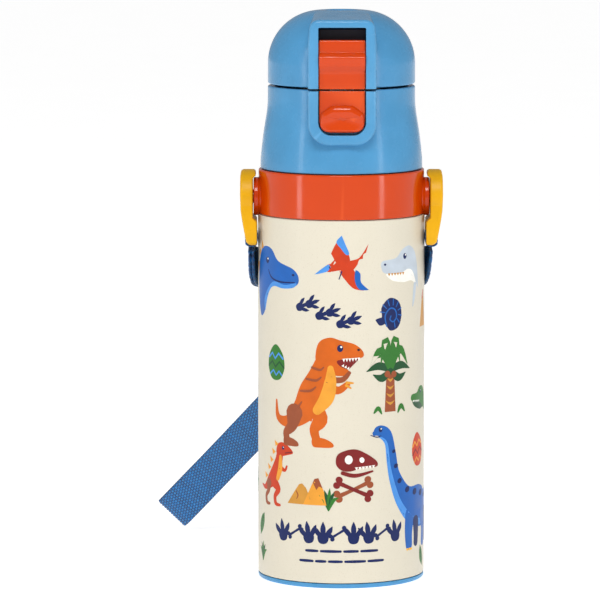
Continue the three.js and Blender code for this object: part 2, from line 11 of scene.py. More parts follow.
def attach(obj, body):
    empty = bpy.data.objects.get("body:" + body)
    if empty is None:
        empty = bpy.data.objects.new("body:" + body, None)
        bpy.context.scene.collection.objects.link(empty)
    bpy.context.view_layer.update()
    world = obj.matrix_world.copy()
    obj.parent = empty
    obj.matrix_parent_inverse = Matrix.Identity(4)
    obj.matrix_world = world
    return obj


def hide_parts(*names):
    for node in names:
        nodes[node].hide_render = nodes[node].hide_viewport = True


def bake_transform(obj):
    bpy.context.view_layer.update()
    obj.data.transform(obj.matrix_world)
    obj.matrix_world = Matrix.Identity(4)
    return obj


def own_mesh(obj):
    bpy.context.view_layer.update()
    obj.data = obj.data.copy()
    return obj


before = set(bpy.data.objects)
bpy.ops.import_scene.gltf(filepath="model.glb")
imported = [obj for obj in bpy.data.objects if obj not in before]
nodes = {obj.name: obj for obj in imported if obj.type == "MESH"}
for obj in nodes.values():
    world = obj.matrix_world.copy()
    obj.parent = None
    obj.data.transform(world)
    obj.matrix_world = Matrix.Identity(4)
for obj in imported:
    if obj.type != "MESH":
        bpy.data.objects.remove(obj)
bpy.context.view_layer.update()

mm = 0.001
scene = bpy.context.scene

# camera first, then the floor and the lights
studio = {
    "cameraAt": (-0.0157, -1.817, 0.319), "tilt": 6.69, "lens": 288.2,
    "floorTone": 0.93, "floorGlow": 0.64, "worldTone": 0.36,
    # name: place, size (wide, tall), watts, what it points at
    "softboxes": {
        "softboxLeft": ((-0.95, -0.55, 0.30), (0.14, 1.1), 2.6, (0, 0, 0.12)),
        "softboxRight": ((0.95, -0.62, 0.30), (0.14, 1.1), 2.6, (0, 0, 0.12)),
        "softboxTop": ((0.0, -0.74, 0.95), (0.5, 0.3), 6.4, (0, 0, 0.18)),
        "softboxFront": ((-0.25, -1.9, 0.75), (1.6, 1.6), 0.5, (0, 0, 0.11)),
    },
}


def setUpStudio(s):
    lens = bpy.data.cameras.new("camera")
    lens.lens = s["lens"]
    lens.clip_end = 30
    view = bpy.data.objects.new("camera", lens)
    view.location = s["cameraAt"]
    view.rotation_euler = (math.radians(90 - s["tilt"]), 0, 0)
    scene.collection.objects.link(view)
    scene.camera = view
    scene.view_settings.view_transform = "Standard"
    world = bpy.data.worlds.new("studioAir")
    world.use_nodes = True
    world.node_tree.nodes["Background"].inputs["Color"].default_value = (1, 1, 1, 1)
    world.node_tree.nodes["Background"].inputs["Strength"].default_value = s["worldTone"]
    scene.world = world
    for name, (place, size, watts, target) in s["softboxes"].items():
        lamp = bpy.data.lights.new(name, "AREA")
        lamp.shape = "RECTANGLE"
        lamp.size, lamp.size_y = size
        lamp.energy = watts
        box = bpy.data.objects.new(name, lamp)
        box.location = place
        box.rotation_euler = (Vector(target) - Vector(place)).to_track_quat("-Z", "Y").to_euler()
        scene.collection.objects.link(box)


setUpStudio(studio)
print("studio ready")


# node helpers for the finishes

def startFinish(name):
    finish = bpy.data.materials.new(name)
    finish.use_nodes = True
    return finish, finish.node_tree, finish.node_tree.nodes["Principled BSDF"]


def addNode(tree, kind, inputs=None, **settings):
    node = tree.nodes.new("ShaderNode" + kind)
    for key, value in settings.items():
        setattr(node, key, value)
    for key, value in (inputs or {}).items():
        if isinstance(value, bpy.types.NodeSocket):
            tree.links.new(value, node.inputs[key])
        else:
            node.inputs[key].default_value = value
    return node


def linear(colour, gain=1.0):
    def one(v):
        v = v / 255
        return min(1.0, gain * (v / 12.92 if v <= 0.04045 else ((v + 0.055) / 1.055) ** 2.4))
    return (one(colour[0]), one(colour[1]), one(colour[2]), 1)


def objectSpace(tree, stretch=(1, 1, 1)):
    place = addNode(tree, "TexCoord").outputs["Object"]
    return addNode(tree, "Mapping", {"Vector": place, "Scale": stretch}).outputs["Vector"]


def noise(tree, where, size, detail=3.0, roughness=0.5):
    # size is the width of one lump, in mm
    inputs = {"Vector": where, "Scale": 1000 / size, "Detail": detail, "Roughness": roughness}
    return addNode(tree, "TexNoise", inputs).outputs["Fac"]


def spread(tree, value, low, high, fromLow=0.35, fromHigh=0.65):
    inputs = {"Value": value, "From Min": fromLow, "From Max": fromHigh, "To Min": low, "To Max": high}
    return addNode(tree, "MapRange", inputs).outputs["Result"]


def blendColours(tree, amount, first, second):
    inputs = {"Factor": amount}
    node = addNode(tree, "Mix", inputs, data_type="RGBA")
    for socket, colour in (("A_Color", first), ("B_Color", second)):
        target = next(i for i in node.inputs if i.identifier == socket)
        if isinstance(colour, bpy.types.NodeSocket):
            tree.links.new(colour, target)
        else:
            target.default_value = colour
    return next(o for o in node.outputs if o.identifier == "Result_Color")


def bump(tree, shader, height, depth, strength=1.0):
    node = addNode(tree, "Bump", {"Height": height, "Distance": depth * mm, "Strength": strength})
    tree.links.new(node.outputs["Normal"], shader.inputs["Normal"])


# moulded plastic: a faint cloudiness, a fine spark-eroded grain and edges a little paler from handling
def mouldedPlastic(name, colour, rough=0.3, grain=0.5, grainDepth=0.004, coat=0.0, cloud=0.07):
    finish, tree, shader = startFinish(name)
    where = objectSpace(tree)
    clouds = spread(tree, noise(tree, where, 22), 0, 1)
    tone = blendColours(tree, clouds, linear(colour, 1 - cloud), linear(colour, 1 + cloud))
    worn = addNode(tree, "NewGeometry").outputs["Pointiness"]
    worn = spread(tree, worn, 0, 0.25, 0.52, 0.62)
    paler = tuple(min(255, c + 45) for c in colour)
    tree.links.new(blendColours(tree, worn, tone, linear(paler)), shader.inputs["Base Color"])
    scuffs = spread(tree, noise(tree, where, 6, 5), rough - 0.04, rough + 0.06)
    tree.links.new(scuffs, shader.inputs["Roughness"])
    shader.inputs["Specular IOR Level"].default_value = 0.2
    shader.inputs["Coat Weight"].default_value = coat
    shader.inputs["Coat Roughness"].default_value = 0.08
    bump(tree, shader, noise(tree, where, grain, 2), grainDepth)
    return finish


# powder paint over steel: satin, with a very fine speckle
def powderPaint(name, colour, speck):
    finish, tree, shader = startFinish(name)
    where = objectSpace(tree)
    clouds = spread(tree, noise(tree, where, 30), 0, 1)
    tone = blendColours(tree, clouds, linear(colour, 0.985), linear(colour, 1.015))
    specks = spread(tree, noise(tree, where, 0.35, 1), 0, 0.5, 0.62, 0.72)
    tree.links.new(blendColours(tree, specks, tone, linear(speck)), shader.inputs["Base Color"])
    tree.links.new(spread(tree, noise(tree, where, 2.5, 4), 0.4, 0.5), shader.inputs["Roughness"])
    shader.inputs["Specular IOR Level"].default_value = 0.35
    shader.inputs["Coat Weight"].default_value = 0.15
    shader.inputs["Coat Roughness"].default_value = 0.2
    bump(tree, shader, noise(tree, where, 0.6, 3), 0.006)
    return finish


# steel, with fine lines round the axis it was turned on
def turnedSteel(name, tone=0.66, rough=0.28, axis=2):
    finish, tree, shader = startFinish(name)
    stretch = [0.03, 0.03, 0.03]
    stretch[axis] = 1
    lines = noise(tree, objectSpace(tree, stretch), 0.12, 4, 0.7)
    where = objectSpace(tree)
    clouds = spread(tree, noise(tree, where, 12), 0, 1)
    low, high = (tone * 0.9, tone * 0.91, tone * 0.93, 1), (tone, tone, tone, 1)
    tree.links.new(blendColours(tree, clouds, low, high), shader.inputs["Base Color"])
    tree.links.new(spread(tree, lines, rough - 0.08, rough + 0.1), shader.inputs["Roughness"])
    shader.inputs["Metallic"].default_value = 1
    bump(tree, shader, lines, 0.004, 0.6)
    return finish


# silicone: dull, slightly see-through at thin lips, with dust-like mottling
def softSilicone(name, colour):
    finish, tree, shader = startFinish(name)
    where = objectSpace(tree)
    dust = spread(tree, noise(tree, where, 3, 6, 0.65), 0, 1)
    tree.links.new(blendColours(tree, dust, linear(colour, 0.93), linear(colour, 1.04)),
                   shader.inputs["Base Color"])
    tree.links.new(spread(tree, dust, 0.5, 0.62, 0, 1), shader.inputs["Roughness"])
    shader.inputs["Subsurface Weight"].default_value = 0.25
    shader.inputs["Subsurface Radius"].default_value = (0.0012, 0.001, 0.0009)
    shader.inputs["Subsurface Scale"].default_value = 1.0
    bump(tree, shader, noise(tree, where, 0.8, 2), 0.006)
    return finish


# screen-printed ink: flat colour with the uneven laydown of the screen
def screenInk(name, colour):
    finish, tree, shader = startFinish(name)
    where = objectSpace(tree)
    laydown = spread(tree, noise(tree, where, 5, 4), 0, 1)
    tone = blendColours(tree, laydown, linear(colour, 0.93), linear(colour, 1.06))
    mesh = spread(tree, noise(tree, where, 0.3, 1), 0, 0.2, 0.6, 0.75)
    paler = tuple(min(255, c + 14) for c in colour)
    tree.links.new(blendColours(tree, mesh, tone, linear(paler)), shader.inputs["Base Color"])
    tree.links.new(spread(tree, laydown, 0.34, 0.46, 0, 1), shader.inputs["Roughness"])
    shader.inputs["Specular IOR Level"].default_value = 0.25
    bump(tree, shader, noise(tree, where, 0.5, 2), 0.004)
    return finish


# woven polyester: the "rise" of each yarn over the weave is kept on the mesh, 0 in the gaps and 1 on the
# crowns; the colour is painted darker in the gaps (painted shade) and paler on the crowns (painted highlight)
def wovenWebbing(name, gapShadeColour, yarn, crown):
    finish, tree, shader = startFinish(name)
    rise = addNode(tree, "Attribute", attribute_name="rise").outputs["Fac"]
    where = objectSpace(tree)
    uneven = spread(tree, noise(tree, where, 1.6, 3), 0, 1)
    body = blendColours(tree, uneven, linear(yarn, 0.82), linear(yarn, 1.15))
    # painted shade: the gaps between the yarns get a darker colour
    low = blendColours(tree, spread(tree, rise, 0, 1, 0.05, 0.55), linear(gapShadeColour), body)
    top = spread(tree, rise, 0, 0.55, 0.72, 1.0)
    # painted highlight: the yarn crowns get a pale glint colour
    tree.links.new(blendColours(tree, top, low, linear(crown)), shader.inputs["Base Color"])
    tree.links.new(spread(tree, uneven, 0.3, 0.5, 0, 1), shader.inputs["Roughness"])
    shader.inputs["Sheen Weight"].default_value = 0.08
    shader.inputs["Sheen Roughness"].default_value = 0.4
    bump(tree, shader, noise(tree, where, 0.12, 2), 0.02, 0.7)
    return finish


blueLidPlastic = mouldedPlastic("blueLidPlastic", (74, 140, 184), rough=0.25, grain=0.45, grainDepth=0.003,
                                coat=0.15)
blueFootPlastic = mouldedPlastic("blueFootPlastic", (76, 144, 192), rough=0.3)
orangePlastic = mouldedPlastic("orangePlastic", (196, 60, 0), rough=0.14, grainDepth=0.001, coat=0.25,
                               cloud=0.03)
yellowPlastic = mouldedPlastic("yellowPlastic", (216, 160, 10), rough=0.36, grain=0.7, grainDepth=0.03,
                               cloud=0.09)
whiteLinerPlastic = mouldedPlastic("whiteLinerPlastic", (232, 229, 220), rough=0.3)
# near-black: on the lock track, seen in the window above the slider, this colour is painted shade for the lid's
# dark hollow; the strap adjuster uses the same plastic
darkTrackPlastic = mouldedPlastic("darkTrackPlastic", (14, 10, 20), rough=0.5)
creamPaint = powderPaint("creamPaint", (211, 204, 186), (192, 182, 160))
turnedSteelFinish = turnedSteel("turnedSteel")
wireSteel = turnedSteel("wireSteel", 0.6, 0.22, 0)
paleSilicone = softSilicone("paleSilicone", (222, 224, 220))
# the darkest colour is painted shade for the weave's gaps, the palest is a painted highlight for the yarn
# crowns
strapWebbing = wovenWebbing("strapWebbing", (0, 28, 66), (0, 100, 166), (50, 164, 222))
floorFinish, floorTree, floorShader = startFinish("paleFloor")
floorTone = studio["floorTone"]
floorGrain = spread(floorTree, noise(floorTree, objectSpace(floorTree), 60), 0, 1)
floorShade = blendColours(
    floorTree, floorGrain, (floorTone, floorTone, floorTone, 1),
    (floorTone + 0.02, floorTone + 0.02, floorTone + 0.02, 1))
floorTree.links.new(floorShade, floorShader.inputs["Base Color"])
floorShader.inputs["Roughness"].default_value = 0.7
floorShader.inputs["Emission Color"].default_value = (1, 1, 1, 1)
floorShader.inputs["Emission Strength"].default_value = studio["floorGlow"]
print("finishes ready")


# shape helpers: every shape is (points in mm, faces)

def filleted(points, radius=0.3, closed=True):
    # rounds the corners of an outline; a third number on a point is that corner's own radius
    result = []
    count = len(points)
    for i, p in enumerate(points):
        here = Vector(p[:2])
        r = p[2] if len(p) > 2 else radius
        if r <= 0 or (not closed and i in (0, count - 1)):
            result.append(tuple(here))
            continue
        before = Vector(points[i - 1][:2]) - here
        after = Vector(points[(i + 1) % count][:2]) - here
        half = before.angle(after) / 2
        if half > 1.52:
            result.append(tuple(here))
            continue
        reach = min(r / math.tan(half), 0.48 * before.length, 0.48 * after.length)
        before.normalize()
        after.normalize()
        centre = here + (before + after).normalized() * (reach / math.cos(half))
        start = here + before * reach - centre
        end = here + after * reach - centre
        turn = math.atan2(start.x * end.y - start.y * end.x, start.dot(end))
        steps = max(3, int(abs(turn) * start.length / 0.35))
        for k in range(steps + 1):
            a = turn * k / steps
            c, s = math.cos(a), math.sin(a)
            result.append((centre.x + start.x * c - start.y * s, centre.y + start.x * s + start.y * c))
    return result


def arcPoints(u, v, radius, start, end, steps):
    angles = [math.radians(start + (end - start) * k / steps) for k in range(steps + 1)]
    return [(u + radius * math.cos(a), v + radius * math.sin(a), 0) for a in angles]


def turned(profile, steps=160, ring=True):
    # a profile of (radius, height) turned about Z
    points, faces, rows = [], [], []
    for radius, height in profile:
        if radius < 1e-5:
            rows.append([len(points)])
            points.append((0, 0, height))
            continue
        rows.append(range(len(points), len(points) + steps))
        for k in range(steps):
            a = 2 * math.pi * k / steps
            points.append((radius * math.cos(a), radius * math.sin(a), height))
    pairs = list(zip(rows, rows[1:]))
    if ring:
        pairs.append((rows[-1], rows[0]))
    for low, high in pairs:
        for k in range(steps):
            n = (k + 1) % steps
            quad = [low[k % len(low)], low[n % len(low)], high[n % len(high)], high[k % len(high)]]
            corners = list(dict.fromkeys(quad))
            if len(corners) > 2:
                faces.append(corners)
    return points, faces


def rodAlongX(radius, x0, x1, y, z, rounding=0.3, steps=48):
    profile = filleted([(0, x0), (radius, x0), (radius, x1), (0, x1)], rounding, closed=False)
    points, faces = turned(profile, steps, ring=False)
    return [(h, y + a, z + b) for a, b, h in points], faces


def area(loop):
    return sum(a[0] * b[1] - b[0] * a[1] for a, b in zip(loop, loop[1:] + loop[:1])) / 2


def insetLoop(loop, distance):
    # moves an outline towards its left-hand side
    if not distance:
        return loop
    result = []
    for i, p in enumerate(loop):
        before = Vector(p) - Vector(loop[i - 1])
        after = Vector(loop[(i + 1) % len(loop)]) - Vector(p)
        first = Vector((-before.y, before.x)).normalized()
        second = Vector((-after.y, after.x)).normalized()
        lean = first + second
        scale = min(2.0, 2 / max(lean.length_squared, 0.3))
        result.append((p[0] + lean.x * distance * scale, p[1] + lean.y * distance * scale))
    return result


def bevelled(near, far, nearBevel, farBevel, steps=3):
    # (depth, inset) layers of a slab with rounded edges
    sign = 1 if far > near else -1
    angles = [math.pi / 2 * k / steps for k in range(steps + 1)]
    start = [(near + sign * nearBevel * (1 - math.cos(a)), nearBevel * (1 - math.sin(a))) for a in angles]
    end = [(far - sign * farBevel * (1 - math.cos(a)), farBevel * (1 - math.sin(a))) for a in reversed(angles)]
    start = start if nearBevel else [(near, 0)]
    end = end if farBevel else [(far, 0)]
    return start + end


def slab(loops, layers, place):
    # an outline (and its holes) pushed through a row of layers; place(u, v, depth) gives the point
    loops = [loop if (area(loop) > 0) == (i == 0) else loop[::-1] for i, loop in enumerate(loops)]
    points, faces, starts = [], [], []
    for depth, inward in layers:
        starts.append(len(points))
        for loop in loops:
            points += [place(u, v, depth) for u, v in insetLoop(loop, inward)]
    for low, high in zip(starts, starts[1:]):
        first = 0
        for loop in loops:
            count = len(loop)
            for k in range(count):
                n = (k + 1) % count
                a, b = first + k, first + n
                faces.append([low + a, low + b, high + b, high + a])
            first += count
    for start, inward in ((starts[0], layers[0][1]), (starts[-1], layers[-1][1])):
        flat = [[Vector((u, v, 0)) for u, v in insetLoop(loop, inward)] for loop in loops]
        faces += [[start + i for i in triangle] for triangle in tessellate_polygon(flat)]
    return points, faces


def frontPlane(u, v, depth):
    return (u, depth, v)


def sidePlane(u, v, depth):
    return (depth, u, v)


def panelOutline(halfWidth, bottom, top, bottomRadius, topRadius):
    return filleted([(-halfWidth, bottom, bottomRadius), (halfWidth, bottom, bottomRadius),
                     (halfWidth, top, topRadius), (-halfWidth, top, topRadius)])


def boxShape(x0, x1, y0, y1, z0, z1, rounding=0.0):
    outline = filleted([(x0, z0), (x1, z0), (x1, z1), (x0, z1)], rounding)
    return slab([outline], bevelled(y0, y1, rounding, rounding), frontPlane)


def wire(path, radius, steps=10):
    # a round wire along a row of points, closed at both ends
    points, faces = [], []
    path = [Vector(p) for p in path]
    up = Vector((0.3, 0.5, 0.8))
    for i, p in enumerate(path):
        along = (path[min(i + 1, len(path) - 1)] - path[max(i - 1, 0)]).normalized()
        side = along.cross(up).normalized()
        up = side.cross(along).normalized()
        for k in range(steps):
            a = 2 * math.pi * k / steps
            points.append(tuple(p + (side * math.cos(a) + up * math.sin(a)) * radius))
    for s in range(len(path) - 1):
        for k in range(steps):
            a, b = s * steps + k, s * steps + (k + 1) % steps
            faces.append([a, b, b + steps, a + steps])
    faces.append(list(range(steps)))
    last = (len(path) - 1) * steps
    faces.append(list(range(last + steps - 1, last - 1, -1)))
    return points, faces


def coil(radius, wireRadius, length, turns, place):
    path = []
    for k in range(turns * 20 + 1):
        a = 2 * math.pi * k / 20
        path.append(place(radius * math.cos(a), radius * math.sin(a), length * k / (turns * 20)))
    return wire(path, wireRadius)


def joined(shapes):
    points, faces = [], []
    for shapePoints, shapeFaces in shapes:
        first = len(points)
        points += shapePoints
        faces += [[first + i for i in face] for face in shapeFaces]
    return points, faces


def meshFrom(name, shape, sharpAngle=34):
    points, faces = shape
    mesh = bpy.data.meshes.new(name)
    mesh.from_pydata([(x * mm, y * mm, z * mm) for x, y, z in points], [], faces)
    work = bmesh.new()
    work.from_mesh(mesh)
    bmesh.ops.remove_doubles(work, verts=work.verts, dist=2e-6)
    bmesh.ops.recalc_face_normals(work, faces=work.faces)
    work.to_mesh(mesh)
    work.free()
    smoothed(mesh, sharpAngle)
    return mesh


def smoothed(mesh, sharpAngle):
    mesh.polygons.foreach_set("use_smooth", [True] * len(mesh.polygons))
    mesh.set_sharp_from_angle(angle=math.radians(sharpAngle))
    mesh.update()


def cutAway(mesh, cutters):
    # takes closed shapes out of a mesh, with the exact solver
    target = bpy.data.objects.new("target", mesh)
    scene.collection.objects.link(target)
    tools = []
    for k, shape in enumerate(cutters):
        tool = bpy.data.objects.new("cutter", meshFrom("cutter", shape))
        scene.collection.objects.link(tool)
        tools.append(tool)
        cut = target.modifiers.new(f"cut{k}", "BOOLEAN")
        cut.operation = "DIFFERENCE"
        cut.solver = "EXACT"
        cut.object = tool
    bpy.context.view_layer.update()
    done = bpy.data.meshes.new_from_object(target.evaluated_get(bpy.context.evaluated_depsgraph_get()))
    for spare in tools + [target]:
        bpy.data.objects.remove(spare)
    return done


def gathered(mesh, others):
    # adds whole meshes to a mesh as they are, and lets them go
    whole = bmesh.new()
    for part in [mesh] + others:
        whole.from_mesh(part)
    whole.to_mesh(mesh)
    whole.free()
    for part in others:
        bpy.data.meshes.remove(part)
    return mesh


def addPiece(name, mesh, finish, body, hides=()):
    piece = bpy.data.objects.new(name, mesh)
    scene.collection.objects.link(piece)
    mesh.materials.clear()
    mesh.materials.append(finish)
    even = piece.modifiers.new("evenShading", "WEIGHTED_NORMAL")
    even.keep_sharp = True
    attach(piece, body)
    if hides:
        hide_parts(*hides)
    return piece


def addShape(name, shape, finish, body, hides=(), sharpAngle=34):
    return addPiece(name, meshFrom(name, shape, sharpAngle), finish, body, hides)


floorCorners = [(-6000, -6000, -0.1), (6000, -6000, -0.1), (6000, 6000, -0.1), (-6000, 6000, -0.1)]
floorMesh = meshFrom("floor", (floorCorners, [[0, 1, 2, 3]]))
floor = bpy.data.objects.new("floor", floorMesh)
scene.collection.objects.link(floor)
floorMesh.materials.append(floorFinish)

# steel body
steelBody = {
    "radius": 31.65, "bottom": 2.0, "top": 139.2, "shoulder": 30.1, "neck": 23.0, "neckTop": 167.2,
    "wall": 0.5, "threadStart": 158.3, "threadLead": 5.0, "threadTurns": 1.4, "threadDepth": 1.3,
}


def threadRidge(root, crest, start, turns, lead, steps=96):
    # a rounded ridge that climbs one lead a turn and fades out at both ends
    count = int(steps * turns)
    section = [(-1.15, 0), (-0.8, 0.35), (-0.5, 0.85), (-0.2, 1), (0.2, 1), (0.5, 0.85), (0.8, 0.35), (1.15, 0)]
    points, faces = [], []
    for i in range(count + 1):
        a = 2 * math.pi * i / steps
        fade = min(1, i / 9, (count - i) / 9)
        rise = (crest - root) * max(0.04, math.sin(fade * math.pi / 2))
        for height, share in section:
            radius = root + rise * share
            points.append((radius * math.cos(a), radius * math.sin(a), start + lead * i / steps + height))
    n = len(section)
    for i in range(count):
        for k in range(n):
            a, b = i * n + k, i * n + (k + 1) % n
            faces.append([a, b, b + n, a + n])
    faces.append(list(range(n)))
    faces.append([count * n + k for k in range(n - 1, -1, -1)])
    return points, faces


def makeBody(s):
    r, t = s["radius"], s["wall"]
    profile = filleted([
        (r, s["bottom"], 0.35), (r, s["top"], 0.5), (s["shoulder"], s["top"], 0.1), (s["shoulder"], 147, 1),
        (28.6, 149.6, 1), (24.4, 152.6, 1.5), (s["neck"], 154.6, 1.5), (s["neck"], s["neckTop"], 0.2),
        (s["neck"] - t, s["neckTop"], 0.2), (s["neck"] - t, 154, 1), (24.1, 152.2, 1), (28.2, 149.3, 1),
        (s["shoulder"] - t, 146.8, 1), (s["shoulder"] - t, s["top"], 0), (r - t, s["top"] - 1.2, 0),
        (r - t, s["bottom"], 0.1)])
    thread = threadRidge(s["neck"] - 0.3, s["neck"] + s["threadDepth"], s["threadStart"], s["threadTurns"],
                         s["threadLead"])
    addShape("bodyShell", turned(profile, 220), creamPaint, "bottle", ["outer_shell"])
    addShape("neckThread", thread, creamPaint, "bottle")


def makeCup():
    # inner cup, with the rolled lip that the drinking mouth has
    profile = filleted([
        (0, 5, 0), (25.6, 5, 3), (29.1, 9, 3), (29.1, 145.4, 5), (21.45, 152.8, 3), (21.45, 167.5, 0.2),
        (22.9, 167.5, 0.2), (22.9, 168.2, 0.34), (21, 168.2, 0.5), (21, 152.5, 3), (28.65, 145.1, 5),
        (28.65, 9.2, 3), (25.4, 5.45, 3), (0, 5.45, 0)], closed=False)
    addShape("steelCup", turned(profile, 160, ring=False), turnedSteelFinish, "bottle",
             ["inner_vessel"])


def makeFoot():
    profile = filleted([
        (0, 0.5, 0), (21, 0.5, 0.4), (21.8, 0, 0.4), (24, 0, 0.3), (24.6, 0.4, 0.2), (25.4, 0.4, 0.2),
        (26, 0, 0.3), (31.1, 0, 0.5), (31.6, 0.6, 0.4), (31.6, 1.7, 0.25), (30.5, 1.7, 0), (30.5, 2.4, 0.2),
        (0, 2.4, 0)], closed=False)
    rings = [(radius, 0.5 - 0.25 * (k % 2), 0.15) for k, radius in enumerate([4, 4.6, 10, 10.6, 15, 15.6])]
    profile = profile[:1] + [(r, h) for r, h, _ in rings] + profile[1:]
    addShape("footRing", turned(profile, 200, ring=False), blueFootPlastic, "bottle",
             ["base_cover"])
    nodes["base_plate"].data.materials.clear()
    nodes["base_plate"].data.materials.append(turnedSteelFinish)


makeBody(steelBody)
makeCup()
makeFoot()
print("steel body ready")

# shoulder band with its two bosses, studs and swivel rings
band = {
    "radius": 31.45, "bottom": 139.5, "top": 156.3, "boss": 7.25, "bossFace": 33.3, "pivot": 145.65,
    "studRoom": 2.9,
    # what the bosses leave free for the bottle's shoulder and neck
    "hollow": [(0, 130), (30.35, 130), (30.35, 147.3), (29.2, 149.9), (25.3, 153.2), (25.3, 160), (0, 160)],
}


def makeBand(s):
    r = s["radius"]
    ring = turned(filleted([
        (30.4, s["bottom"], 0.1), (r, s["bottom"], 0.35), (r, s["top"], 0.55), (25.4, s["top"], 0.2),
        (25.4, 153.2, 0.2), (29.3, 149.9, 0.2), (30.4, 147.3, 0.2)]), 220)
    hollow = turned(s["hollow"], 120, ring=False)
    bosses = []
    for side in (-1, 1):
        # a turned boss whose foot flares into the band
        profile = filleted([
            (0, 27.8, 0), (s["boss"] + 0.9, 27.8, 0), (s["boss"] + 0.5, 30.9, 1.2), (s["boss"], 31.6, 0.8),
            (s["boss"], s["bossFace"], 0.4), (s["studRoom"], s["bossFace"], 0.2), (s["studRoom"], 30.4, 0),
            (0, 30.4, 0)], closed=False)
        points, faces = turned(profile, 72, ring=False)
        boss = ([(side * h, a * side, s["pivot"] + b) for a, b, h in points], faces)
        bosses.append(cutAway(meshFrom("boss", boss), [hollow]))
    mesh = gathered(meshFrom("shoulderBand", ring), bosses)
    smoothed(mesh, 34)
    addPiece("shoulderBand", mesh, orangePlastic, "bottle", ["shoulder_band"])


swivelRing = {
    "hub": 10.3, "footHalf": 11.2, "foot": 127.9, "slotHalf": 8.1, "slotLow": 131.4, "slotHigh": 135.9,
    # (height, nearest the body, furthest from it)
    "sections": [(127.9, 32.1, 35.0), (129.2, 32.0, 36.1), (133, 32.0, 36.85), (136.8, 32.1, 37.55),
                 (138.2, 33.6, 37.8), (141, 33.6, 38.2), (147, 33.6, 38.4), (153.1, 33.6, 38.35),
                 (153.9, 32.4, 38.3), (155.4, 32.6, 38.0), (156.4, 33.3, 37.4)],
    "barNear": 33.2, "barFar": 35.1, "barBottom": 128.4, "barHalf": 7.8,
    "bore": 2.9, "headRoom": 4.9, "headSeat": 36.95, "thickness": 4.0, "slice": 0.8,
}


def between(table, x, column):
    # straight-line reading between the rows of a table
    if x <= table[0][0]:
        return table[0][column]
    for low, high in zip(table, table[1:]):
        if x <= high[0]:
            return low[column] + (high[column] - low[column]) * (x - low[0]) / (high[0] - low[0])
    return table[-1][column]


def makeRing(s, name, side):
    # the flat plate is cut, sliced into levels, then bent to the ring's side view
    hub = arcPoints(0, band["pivot"], s["hub"], -16, 196, 44)
    legs = s["slotHalf"] - 0.4
    foot = [(-s["footHalf"], 134, 4), (-s["footHalf"], s["foot"], 2.6), (-legs, s["foot"], 0.25),
            (-legs, s["barBottom"], 0.2), (legs, s["barBottom"], 0.2), (legs, s["foot"], 0.25),
            (s["footHalf"], s["foot"], 2.6), (s["footHalf"], 134, 4)]
    outline = filleted(hub + foot)
    slot = panelOutline(s["slotHalf"], s["slotLow"], s["slotHigh"], 0.8, 1.5)
    bore = [(s["bore"] * math.cos(a), band["pivot"] + s["bore"] * math.sin(a))
            for a in [2 * math.pi * k / 40 for k in range(40)]]
    depth = s["thickness"]
    shape = slab([outline, slot, bore], bevelled(0, depth, 0.5, 0.85, 4), lambda u, v, d: (d, u, v))
    mesh = meshFrom(name, shape, 180)
    work = bmesh.new()
    work.from_mesh(mesh)
    cuts = [((0, 0, (127 + s["slice"] * k) * mm), (0, 0, 1)) for k in range(1, 38)]
    cuts += [((0, y * mm, 0), (0, 1, 0)) for y in (-7.6, 7.6)]
    for place, facing in cuts:
        bmesh.ops.bisect_plane(work, geom=work.verts[:] + work.edges[:] + work.faces[:], dist=1e-7,
                               plane_co=place, plane_no=facing)
    for v in work.verts:
        d, y, z = v.co.x / mm, v.co.y / mm, v.co.z / mm
        inner, outer = between(s["sections"], z, 1), between(s["sections"], z, 2)
        if abs(y) < s["barHalf"] and z < s["slotLow"] + 0.2:
            inner, outer = s["barNear"], s["barFar"]
        # the counterbore that takes the stud's head
        away = math.hypot(y, z - band["pivot"])
        if away < 3.2 and d > depth / 2:
            outer = 37.0
        x = inner + d if d < depth / 2 else outer - (depth - d)
        v.co = Vector((side * x, side * y, z)) * mm
    bmesh.ops.recalc_face_normals(work, faces=work.faces)
    work.to_mesh(mesh)
    work.free()
    mesh.update()
    counterbore = rodAlongX(s["headRoom"], s["headSeat"], 42, 0, band["pivot"], 0.0)
    cutter = ([(side * x, side * y, z) for x, y, z in counterbore[0]], counterbore[1])
    mesh = cutAway(mesh, [cutter])
    smoothed(mesh, 38)
    word = "right" if side > 0 else "left"
    addPiece(name, mesh, yellowPlastic, "ring_" + word, ["strap_ring_" + word])


def makeStud(name, side):
    # shank, then a round head with a dimple
    profile = filleted([
        (0, 30.9, 0), (2.6, 30.9, 0.2), (2.6, 37.2, 0), (4.6, 37.2, 0.1), (4.6, 38.0, 0.5), (3.2, 38.3, 0.3),
        (1.9, 38.25, 0.2), (1.2, 37.9, 0.3), (0, 37.9, 0)], closed=False)
    points, faces = turned(profile, 64, ring=False)
    shape = ([(side * h, a * side, band["pivot"] + b) for a, b, h in points], faces)
    addShape(name, shape, orangePlastic, "bottle",
             ["pivot_stud_" + ("right" if side > 0 else "left")])


makeBand(band)
for side, word in ((1, "Right"), (-1, "Left")):
    makeRing(swivelRing, "swivelRing" + word, side)
    makeStud("swivelStud" + word, side)
print("band and rings ready")

